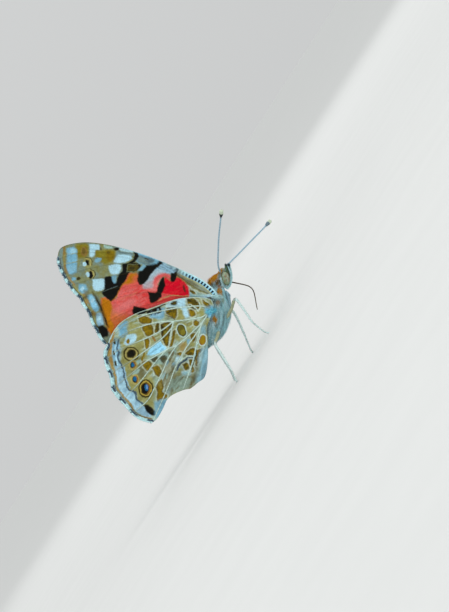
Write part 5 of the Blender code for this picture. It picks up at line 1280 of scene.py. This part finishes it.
def coat_piece(name, stretch, side, count, length, seed):
    """Hairs and scales over a stretch of the skin: forwards on the head, backwards behind it."""
    rng = np.random.default_rng(seed)
    rows, deep, wide, run = skin_rows()
    along, across, out = frames_along(rows)
    area = (deep + wide) * ((run >= stretch[0]) & (run <= stretch[1]))
    chance = np.cumsum(area) / area.sum()
    t = np.interp(rng.uniform(0.0, 1.0, count), chance, np.arange(len(rows)))
    i = np.clip(t.astype(int), 0, len(rows) - 2)
    f = t - i
    turn = side * rng.uniform(0.0, math.pi, count) if side else rng.uniform(0.0, FULL_TURN, count)
    cos, sin = np.cos(turn), np.sin(turn)
    deep, wide, runs = [v[i] * (1 - f) + v[i + 1] * f for v in (deep, wide, run)]
    f = f[:, None]
    middle, along, across, out = [v[i] * (1 - f) + v[i + 1] * f for v in (rows, along, across, out)]
    roots = middle + across * (deep * cos)[:, None] + out * (wide * sin)[:, None]
    normal = across * (cos / deep)[:, None] + out * (sin / wide)[:, None]
    normal /= np.linalg.norm(normal, axis=1)[:, None]
    back = smooth((-cos + 0.3) / 0.6)
    forwards = smooth((1.7 + 2.3 * back - runs) / 1.5) > rng.uniform(0.0, 1.0, count)
    sense = np.where(forwards, -1.0, 1.0)
    lift = np.interp(runs, [0.0, 1.5, 3.0, 11.0, 15.0, 22.0], [0.9, 0.75, 0.5, 0.3, 0.2, 0.2])
    collar = smooth((-cos - 0.2) / 0.6) * np.interp(runs, [1.4, 2.6, 4.4, 6.0], [0.0, 1.0, 1.0, 0.0])
    throat = smooth((cos - 0.1) / 0.7) * np.interp(runs, [2.0, 3.2, 7.0, 10.0], [0.0, 1.0, 0.8, 0.0])
    lift = lift + 0.4 * throat + 0.25 * collar
    ways = along * (sense * np.cos(lift))[:, None] + normal * np.sin(lift)[:, None]
    ways += rng.normal(0.0, 0.11, (count, 3))
    lengths = length * np.interp(runs, [0.0, 1.2, 2.5, 4.0, 6.0, 11.0, 13.5, 16.0, 24.0],
                                 [0.75, 0.45, 0.5, 0.85, 1.25, 1.25, 0.9, 0.5, 0.4])
    lengths *= rng.uniform(0.6, 1.2, count) * (1.0 + 0.35 * throat + 0.8 * collar)
    widths = np.interp(runs, [0.0, 3.0, 11.0, 15.0], [0.05, 0.06, 0.07, 0.09]) * rng.uniform(0.8, 1.3, count)
    tint = body_colours(roots + ways * (0.4 * lengths)[:, None], runs)
    tint *= rng.uniform(0.75, 1.35, count)[:, None]
    brush(tint, rng.uniform(0.0, 1.0, count) < 0.15 * (1.0 - collar), "white", 0.55)
    droop = -normal * (np.sin(lift) * 0.7)[:, None]
    roots -= normal * 0.04
    pick = np.nonzero(eye_clearance(roots) > -0.02)[0]
    points, faces, tints = blades(roots[pick], ways[pick], normal[pick], lengths[pick], widths[pick],
                                  droop[pick], tint[pick] * 0.95, np.minimum(tint[pick] * 1.3, 0.95))
    places = patches(unwrapped(turn % FULL_TURN, runs / run[-1])[pick])
    make_piece(name, points, faces, tints, "Hair", [], [places[g] for g in faces])


def eye_clearance(points):
    """How far plan points are outside the eyes, as a share of their size; below 0 is inside."""
    a, b = turned(points[:, :2] - EYE_CENTRE, EYE_LEAN)
    c = np.abs(points[:, 2]) - EYE_SIDE
    return np.sqrt((a / EYE_SIZE[0]) ** 2 + (b / EYE_SIZE[1]) ** 2 + (c / EYE_SIZE[2]) ** 2) - 1.04


def make_eye(letter, sign):
    """Compound eye with its clouded colour, darkened towards its rim by painted shade."""
    phi = math.pi * (np.arange(1, EYE_ROWS) / EYE_ROWS)
    theta = FULL_TURN * np.arange(EYE_COLUMNS) / EYE_COLUMNS
    a = np.append(np.outer(np.sin(phi), np.cos(theta)), [0.0, 0.0])
    b = np.append(np.repeat(np.cos(phi), EYE_COLUMNS), [1.0, -1.0])
    c = np.append(np.outer(np.sin(phi), np.sin(theta)), [0.0, 0.0])
    flat = np.column_stack([a, b]) * EYE_SIZE[:2]
    points = np.column_stack([*turned(flat, -EYE_LEAN), sign * (EYE_SIDE + c * EYE_SIZE[2])])
    points[:, :2] += EYE_CENTRE
    tint = plain("hazel", len(points))
    brush(tint, smooth(0.4 + 1.8 * ripple(flat * (1.8, 0.7), 0.4, 61)), "moss", 0.8)
    brush(tint, smooth(-0.1 + 2.2 * ripple(flat * (1.6, 0.8), 0.34, 62)), "rust", 0.6)
    brush(tint, smooth(-0.4 + 2.4 * ripple(flat * (1.6, 0.8), 0.26, 63)), "umber", 0.45)
    brush(tint, smooth((-0.35 - b) / 0.4), "moss", 0.6)
    # Painted shade: umber over the top and bottom ends and over all but the outward cap, so the eye darkens
    # towards its rim
    brush(tint, smooth((np.abs(b) - 0.75) / 0.25), "umber", 0.7)
    brush(tint, smooth((0.55 - c) / 0.4), "umber", 0.75)
    faces = [f if sign < 0 else f[:, ::-1] for f in closed_faces(EYE_ROWS - 1, EYE_COLUMNS)]
    make_piece(f"eye_ball_{letter}", points, faces, tint, "Eye", [f"eye_{letter}"])


def palp_tints(share, turn):
    """Colours of a palp: white in front, dark and brown beside it, mossy behind, with a dark tip."""
    facing = np.cos(turn)
    tint = plain("frost", len(share))
    upper = smooth((share - 0.42) / 0.18)
    brush(tint, smooth((facing + 0.5) / 0.2) * upper, "navy", 0.9)
    brush(tint, smooth((facing + 0.2) / 0.3) * smooth((share - 0.14) / 0.08), "bark", 0.9)
    brush(tint, smooth((facing - 0.15) / 0.3) * upper, "moss", 0.9)
    brush(tint, smooth((share - 0.875) / 0.05), "navy", 0.9)
    return tint


def make_palp(letter, sign):
    """Palp with its brush of scales."""
    rng = np.random.default_rng(PALP_SEED)
    stations = spline([p + (d, w) for p, d, w in zip(PALPS[letter], PALP_DEEP, PALP_WIDE)], 0.12)
    rows, deep, wide = stations[:, :3], stations[:, 3] * 0.8, stations[:, 4] * 0.8
    points, faces, index, around = tube(rows, deep, wide, TUBE_SIDES)
    level = index / (len(rows) - 1)
    share, turn, roots, along, normal = tube_hairs(rows, deep, wide, PALP_HAIRS, rng)
    front = smooth((-np.cos(turn) + 0.2) / 0.8)
    rear = smooth((np.cos(turn) - 0.1) / 0.6) * smooth((share - 0.45) / 0.25)
    lengths = (0.36 + 0.22 * front + 0.5 * rear) * rng.uniform(0.6, 1.1, PALP_HAIRS) * (1.0 - 0.35 * share)
    ways = along + normal * (0.3 + 0.25 * front + 0.35 * rear)[:, None]
    ways += rng.normal(0.0, 0.1, (PALP_HAIRS, 3))
    tint = palp_tints(share, turn) * rng.uniform(0.75, 1.15, PALP_HAIRS)[:, None]
    hairs = blades(roots - normal * 0.02, ways, normal, lengths, rng.uniform(0.04, 0.075, PALP_HAIRS),
                   -normal * 0.12, tint * 0.85, np.minimum(tint * 1.1, 1.0))
    places = np.vstack([unwrapped(around, level), patches(unwrapped(turn, share))])
    hairy_piece(f"palp_brush_{letter}", sign, (points, faces, palp_tints(level, around) * 0.7), hairs,
                places, [f"palp_{letter}"])


def make_root_tuft(name, sign, shade, bright, stations):
    """Tuft of close hair that runs from the thorax over the root of a wing."""
    rng = np.random.default_rng(TUFT_SEED)
    stations = spline(stations, 0.08)
    rows, deep, wide = stations[:, :3], stations[:, 3], stations[:, 4]
    points, faces, index, around = tube(rows, deep, wide, TUBE_SIDES)
    share, turn, roots, along, normal = tube_hairs(rows, deep, wide, TUFT_HAIRS, rng)
    ways = along + normal * 0.3 + rng.normal(0.0, 0.12, (TUFT_HAIRS, 3))
    tint = plain(shade, TUFT_HAIRS) * (bright * rng.uniform(0.75, 1.1, TUFT_HAIRS))[:, None]
    tint = np.minimum(tint, 1.0)
    lengths, widths = rng.uniform(0.35, 0.65, TUFT_HAIRS), rng.uniform(0.05, 0.08, TUFT_HAIRS)
    hairs = blades(roots - normal * 0.02, ways, normal, lengths, widths, -normal * 0.12, tint * 0.85,
                   np.minimum(tint * 1.1, 1.0))
    places = np.vstack([unwrapped(around, index / (len(rows) - 1)), patches(unwrapped(turn, share))])
    hairy_piece(name, sign, (points, faces, plain(shade, len(points)) * 0.7), hairs, places, [])


def make_proboscis():
    """Tongue with its fine rings."""
    rows = spline([p + (0.0,) for p in PROBOSCIS], 0.05)
    run = np.linspace(0.0, 1.0, len(rows))
    ring = 1.0 + 0.07 * np.sin(np.arange(len(rows)) * FULL_TURN / 4.0)
    radius = (0.13 - 0.05 * run) * ring
    radius[-6:] *= np.linspace(1.0, 0.35, 6)
    points, faces, index, around = tube(rows, radius, radius * 0.9, LIMB_SIDES)
    tint = plain("dusk", len(points))
    brush(tint, smooth(np.abs(np.sin(around)) * 2.0 - 1.2), "bark", 0.5)
    brush(tint, smooth((run[index] - 0.6) / 0.4), "bark", 0.5)
    make_piece("tongue", points, faces, tint, "Horn", ["proboscis"])


def make_antenna(name, route):
    """Ringed antenna with its dark club and pale tip."""
    sign = RIGHT if name.endswith("R") else LEFT
    plan = spline(route, 0.06)
    run = run_along(plan) / run_along(plan)[-1]
    side = sign * (ANTENNA_ROOT_SIDE + (ANTENNA_TIP_SIDE - ANTENNA_ROOT_SIDE) * run)
    rows = np.column_stack([plan, side])
    length = run_along(rows)
    joint = np.abs((length / ANTENNA_RING) % 1.0 - 0.5) * 2.0
    club = smooth((run - 0.87) / 0.07)
    radius = (0.155 + 0.235 * club) * (1.0 - 0.13 * smooth((joint - 0.75) / 0.2) * (1 - 0.5 * club))
    radius *= 0.25 + 0.75 * np.sqrt(smooth((1.0 - run) / 0.02))
    radius *= 1.35 - 0.35 * smooth(length / 0.5)
    points, faces, index, _ = tube(rows, radius, radius, TUBE_SIDES)
    joint, stalk, run = joint[index], 1 - club[index], run[index]
    tint = plain("stalk", len(points))
    brush(tint, smooth((joint - 0.45) / 0.3) * stalk, "slate", 0.55)
    brush(tint, smooth((joint - 0.8) / 0.15) * stalk, "white", 0.5)
    brush(tint, smooth((run - 0.87) / 0.03), "ink", 0.95 if sign < 0 else 0.6)
    brush(tint, smooth((run - 0.94) / 0.012), "cream", 1.0)
    make_piece(name.replace("antenna", "feeler"), points, faces, tint, "Horn", [name])


def make_leg(name, route):
    """Leg with its joints, close scales, spines and claws."""
    rng = np.random.default_rng(LEG_SEED)
    rows = spline(route, 0.07)
    length = run_along(rows)
    walking = not name.startswith("foreleg")
    knots = [length[np.argmin(np.linalg.norm(rows - np.array(p), axis=1))] for p in route]
    knee, ankle = (knots[2], knots[4]) if walking else (knots[1], knots[2])
    radius = np.interp(length, [0.0, 0.6, knee - 0.3, knee, knee + 0.4, ankle - 0.2, ankle, ankle + 0.3,
                                length[-1] - 0.3, length[-1]],
                       [0.26 if walking else 0.06, 0.33 if walking else 0.24, 0.27, 0.2, 0.25, 0.2, 0.2,
                        0.15, 0.13, 0.08])
    beyond = (length - ankle) / max(0.1, (length[-1] - ankle) / 5.0)
    notch = smooth((np.abs(beyond % 1.0 - 0.5) - 0.38) / 0.1) * (beyond > 0.3) * (beyond < 4.7)
    radius = radius * (1.0 - 0.22 * notch)
    points, faces, index, _ = tube(rows, radius, radius, LIMB_SIDES)
    white = "shin" if walking else "white"
    tint = plain(white, len(points))
    brush(tint, notch[index], "bark", 0.5)
    thigh = smooth((knee - 0.1 - length) / 0.3) * walking
    brush(tint, thigh[index], "tan", 0.8)
    along, across, out = frames_along(rows)
    count = int((LEG_HAIRS if walking else FRONT_LEG_HAIRS) * length[-1])
    i = rng.uniform(0.3, len(rows) - 6.0, count).astype(int)
    turn = rng.uniform(0.0, FULL_TURN, count)
    normal = across[i] * np.cos(turn)[:, None] + out[i] * np.sin(turn)[:, None]
    roots = rows[i] + normal * (radius[i] * 0.9)[:, None]
    femur = length[i] < knee
    spine = (~femur) & (rng.uniform(0.0, 1.0, count) < 0.16 * walking)
    lengths = np.where(spine, 0.34, 0.22) + 0.16 * femur
    lengths = lengths * rng.uniform(0.7, 1.15, count) * (1.0 if walking else 1.8)
    lift = np.where(spine, 0.8, 0.22 if walking else 0.45)
    ways = along[i] + normal * lift[:, None] + rng.normal(0.0, 0.06, (count, 3))
    hair_tint = plain(white, count) * rng.uniform(0.75, 1.0, count)[:, None]
    brush(hair_tint, 0.7 * femur * walking, "drab")
    hair_tint[spine] = linear("bark")
    hairs = blades(roots, ways, normal, lengths, np.where(spine, 0.035, 0.07), -normal * 0.1,
                   hair_tint * 0.8, hair_tint)
    aside = np.array([(0.0, 0.0, 0.6), (0.0, 0.0, -0.6)])
    dark = plain("dusk", 2)
    claws = blades(rows[[-1, -1]] - along[-1] * CLAW_INSET, along[-1] + aside, aside, np.full(2, CLAW_LENGTH),
                   np.full(2, CLAW_WIDTH), np.zeros((2, 3)), dark, dark)
    points, faces, tints = merge([(points, faces, tint), hairs, claws])
    above_floor(points)
    make_piece(name.replace("leg", "leg_scales"), points, faces, tints, "Horn", [name])


def above_floor(points):
    """Lift plan points that would go below the floor."""
    height = to_world(points)[:, 2] / MM
    low = np.minimum(height - 0.01, 0.0)
    points[:, 0] += low * math.sin(PLAN_TURN)
    points[:, 1] -= low * math.cos(PLAN_TURN)


def aim_light(name, place, size, power, colour):
    """Soft square light that looks at the animal."""
    lamp = bpy.data.lights.new(name, "AREA")
    lamp.size = size
    lamp.energy = power
    lamp.color = colour
    obj = bpy.data.objects.new(name, lamp)
    obj.location = place
    to_animal = Vector((0.0, 0.0, 0.02)) - obj.location
    obj.rotation_euler = to_animal.to_track_quat("-Z", "Y").to_euler()
    bpy.context.scene.collection.objects.link(obj)


def add_ramp(tree, low, high):
    """New colour ramp between two colours."""
    ramp = add_node(tree, "ValToRGB")
    ramp.color_ramp.elements[0].color = low
    ramp.color_ramp.elements[1].color = high
    return ramp


def make_floor():
    """Wide round floor of fine plain grain."""
    look = bpy.data.materials.new("Floor")
    look.use_nodes = True
    tree = look.node_tree
    shader = tree.nodes["Principled BSDF"]
    shader.inputs["Roughness"].default_value = 0.9
    shader.inputs["Specular IOR Level"].default_value = 0.2
    where = add_node(tree, "TexCoord")
    grain = add_node(tree, "TexNoise", {"Scale": 60.0})
    blend = add_ramp(tree, *FLOOR_COLOURS)
    join(tree, (where, "Object", grain, "Vector"), (grain, "Fac", blend, "Fac"),
         (blend, "Color", shader, "Base Color"))
    turn = FULL_TURN / FLOOR_SIDES
    ring = [(FLOOR_RADIUS * math.cos(turn * i), FLOOR_RADIUS * math.sin(turn * i), 0.0)
            for i in range(FLOOR_SIDES)]
    mesh = bpy.data.meshes.new("floor")
    mesh.from_pydata(ring, [], [tuple(range(FLOOR_SIDES))])
    mesh.materials.append(look)
    floor = bpy.data.objects.new("floor", mesh)
    bpy.context.scene.collection.objects.link(floor)


def make_sky():
    """Studio surround, lighter towards the top."""
    world = bpy.data.worlds.new("Studio")
    world.use_nodes = True
    bpy.context.scene.world = world
    tree = world.node_tree
    where, part = add_node(tree, "TexCoord"), add_node(tree, "SeparateXYZ")
    fade = add_ramp(tree, HORIZON, ZENITH)
    join(tree, (where, "Generated", part, "Vector"), (part, "Z", fade, "Fac"),
         (fade, "Color", tree.nodes["Background"], "Color"))


def place_camera(distance):
    """Camera that looks squarely at the side plan, a little from above."""
    lens = bpy.data.cameras.new("camera")
    lens.sensor_width = SENSOR
    lens.lens = SENSOR * distance / (VIEW_LENGTH * MM)
    lens.clip_start = 0.01
    camera = bpy.data.objects.new("camera", lens)
    bpy.context.scene.collection.objects.link(camera)
    right = (math.cos(PLAN_TURN), 0.0, -math.sin(PLAN_TURN))
    up = (math.sin(PLAN_TURN), 0.0, math.cos(PLAN_TURN))
    facing = Matrix.Rotation(-CAMERA_RISE, 3, "X") @ Matrix((right, up, (0.0, -1.0, 0.0))).transposed()
    aim = Vector(to_world([VIEW_CENTRE])[0])
    camera.matrix_world = Matrix.Translation(aim + facing.col[2] * distance) @ facing.to_4x4()
    bpy.context.scene.camera = camera


def colour_property(name, value):
    """Colour setting of one tint as seen."""
    return bpy.props.FloatVectorProperty(name=name.replace("_", " ").capitalize(), description=value[3],
                                         subtype="COLOR_GAMMA", size=3, min=0.0, max=1.0,
                                         default=value[:3])


class ButterflyColours(bpy.types.PropertyGroup):
    """Colours of the wings, coat, eyes and horny parts."""
    __annotations__ = {name: colour_property(name, value) for name, value in TINTS.items()}


# Sizes and lighting: name, first value, least value, unit, what it is
SETTINGS = {
    "wing_mesh": ("Wing mesh spacing", 0.000105, 0.00005, "LENGTH",
                  "Distance between points on the wings' undersides"),
    "wing_thickness": ("Wing thickness", 0.00016, 0.00002, "LENGTH",
                       "Thickness of a wing between its veins"),
    "vein_relief": ("Vein relief", 0.00009, 0.0, "LENGTH", "Height of the veins over the wing"),
    "fringe": ("Fringe length", 0.00062, 0.0, "LENGTH", "Length of the scales along the outer margins"),
    "coat_hairs": ("Coat hairs", 10500, 10, None, "Number of hairs on each side of the thorax"),
    "coat_length": ("Coat length", 0.00115, 0.0001, "LENGTH", "Length of the thorax's hair"),
    "light_power": ("Light power", 0.9, 0.0, "POWER", "Power of the main light"),
    "camera_distance": ("Camera distance", 0.6, 0.1, "LENGTH", "From the camera to the wings"),
}


def size_property(name, value, least, unit, description):
    """Setting of one size or number."""
    if unit is None:
        return bpy.props.IntProperty(name=name, description=description, default=value, min=least)
    return bpy.props.FloatProperty(name=name, description=description, default=value, min=least,
                                   unit=unit, precision=6)


class ButterflySizes(bpy.types.PropertyGroup):
    """Sizes of the fine forms, and how the scene is lit."""
    __annotations__ = {name: size_property(*value) for name, value in SETTINGS.items()}


class BUTTERFLY_OT_stage(bpy.types.Operator):
    """Floor, soft lights and the camera"""
    bl_idname = "butterfly.stage"
    bl_label = "Stage"

    def execute(self, context):
        sizes = context.scene.butterfly_sizes
        make_floor()
        make_sky()
        for name, (place, size, share, colour) in LIGHTS.items():
            aim_light(name, place, size, share * sizes.light_power, colour)
        place_camera(sizes.camera_distance)
        context.scene.view_settings.view_transform = "Standard"
        return {"FINISHED"}


class BUTTERFLY_OT_forewings(bpy.types.Operator):
    """Both forewings with their scales, veins and fringe"""
    bl_idname = "butterfly.forewings"
    bl_label = "Forewings"

    def execute(self, context):
        make_wings("forewing")
        return {"FINISHED"}


class BUTTERFLY_OT_hindwings(bpy.types.Operator):
    """Both hindwings with their scales, veins and fringe"""
    bl_idname = "butterfly.hindwings"
    bl_label = "Hindwings"

    def execute(self, context):
        make_wings("hindwing")
        return {"FINISHED"}


class BUTTERFLY_OT_body(bpy.types.Operator):
    """Skin and coat of head, thorax and abdomen"""
    bl_idname = "butterfly.body"
    bl_label = "Body"

    def execute(self, context):
        sizes = context.scene.butterfly_sizes
        make_skin()
        for name, (stretch, side, share, seed) in COATS.items():
            coat_piece(name, stretch, side, int(share * sizes.coat_hairs), sizes.coat_length / MM, seed)
        for name, (shade, bright, stations) in ROOT_TUFTS.items():
            for letter, sign in SIDES:
                make_root_tuft(f"{name}_{letter}", sign, shade, bright, stations)
        return {"FINISHED"}


class BUTTERFLY_OT_eyes(bpy.types.Operator):
    """Both eyes"""
    bl_idname = "butterfly.eyes"
    bl_label = "Eyes"

    def execute(self, context):
        for letter, sign in SIDES:
            make_eye(letter, sign)
        return {"FINISHED"}


class BUTTERFLY_OT_mouth(bpy.types.Operator):
    """Palps and proboscis"""
    bl_idname = "butterfly.mouth"
    bl_label = "Palps and proboscis"

    def execute(self, context):
        for letter, sign in SIDES:
            make_palp(letter, sign)
        make_proboscis()
        return {"FINISHED"}


class BUTTERFLY_OT_antennae(bpy.types.Operator):
    """Both antennae"""
    bl_idname = "butterfly.antennae"
    bl_label = "Antennae"

    def execute(self, context):
        for name, route in ANTENNAE.items():
            make_antenna(name, route)
        return {"FINISHED"}


class BUTTERFLY_OT_legs(bpy.types.Operator):
    """All six legs"""
    bl_idname = "butterfly.legs"
    bl_label = "Legs"

    def execute(self, context):
        for name, route in LEGS.items():
            make_leg(name, route)
        return {"FINISHED"}


MAKERS = (BUTTERFLY_OT_stage, BUTTERFLY_OT_forewings, BUTTERFLY_OT_hindwings, BUTTERFLY_OT_body,
          BUTTERFLY_OT_eyes, BUTTERFLY_OT_mouth, BUTTERFLY_OT_antennae, BUTTERFLY_OT_legs)


class BUTTERFLY_PT_parts(bpy.types.Panel):
    """Makers of the butterfly's parts, with their sizes and colours"""
    bl_idname = "BUTTERFLY_PT_parts"
    bl_label = "Butterfly"
    bl_space_type = "VIEW_3D"
    bl_region_type = "UI"
    bl_category = "Butterfly"

    def draw(self, context):
        for maker in MAKERS:
            self.layout.operator(maker.bl_idname)
        for group in (context.scene.butterfly_sizes, context.scene.butterfly_colours):
            column = self.layout.column()
            for name in type(group).__annotations__:
                column.prop(group, name)


CLASSES = (ButterflyColours, ButterflySizes) + MAKERS + (BUTTERFLY_PT_parts,)


def register():
    """Make the operators, panel and settings known."""
    for cls in CLASSES:
        bpy.utils.register_class(cls)
    bpy.types.Scene.butterfly_colours = bpy.props.PointerProperty(type=ButterflyColours)
    bpy.types.Scene.butterfly_sizes = bpy.props.PointerProperty(type=ButterflySizes)


def unregister():
    """Remove what register() made."""
    del bpy.types.Scene.butterfly_sizes
    del bpy.types.Scene.butterfly_colours
    for cls in reversed(CLASSES):
        bpy.utils.unregister_class(cls)


def main():
    """Make every piece in order."""
    register()
    for maker in MAKERS:
        group, _, name = maker.bl_idname.partition(".")
        getattr(getattr(bpy.ops, group), name)()


if __name__ == "__main__":
    main()
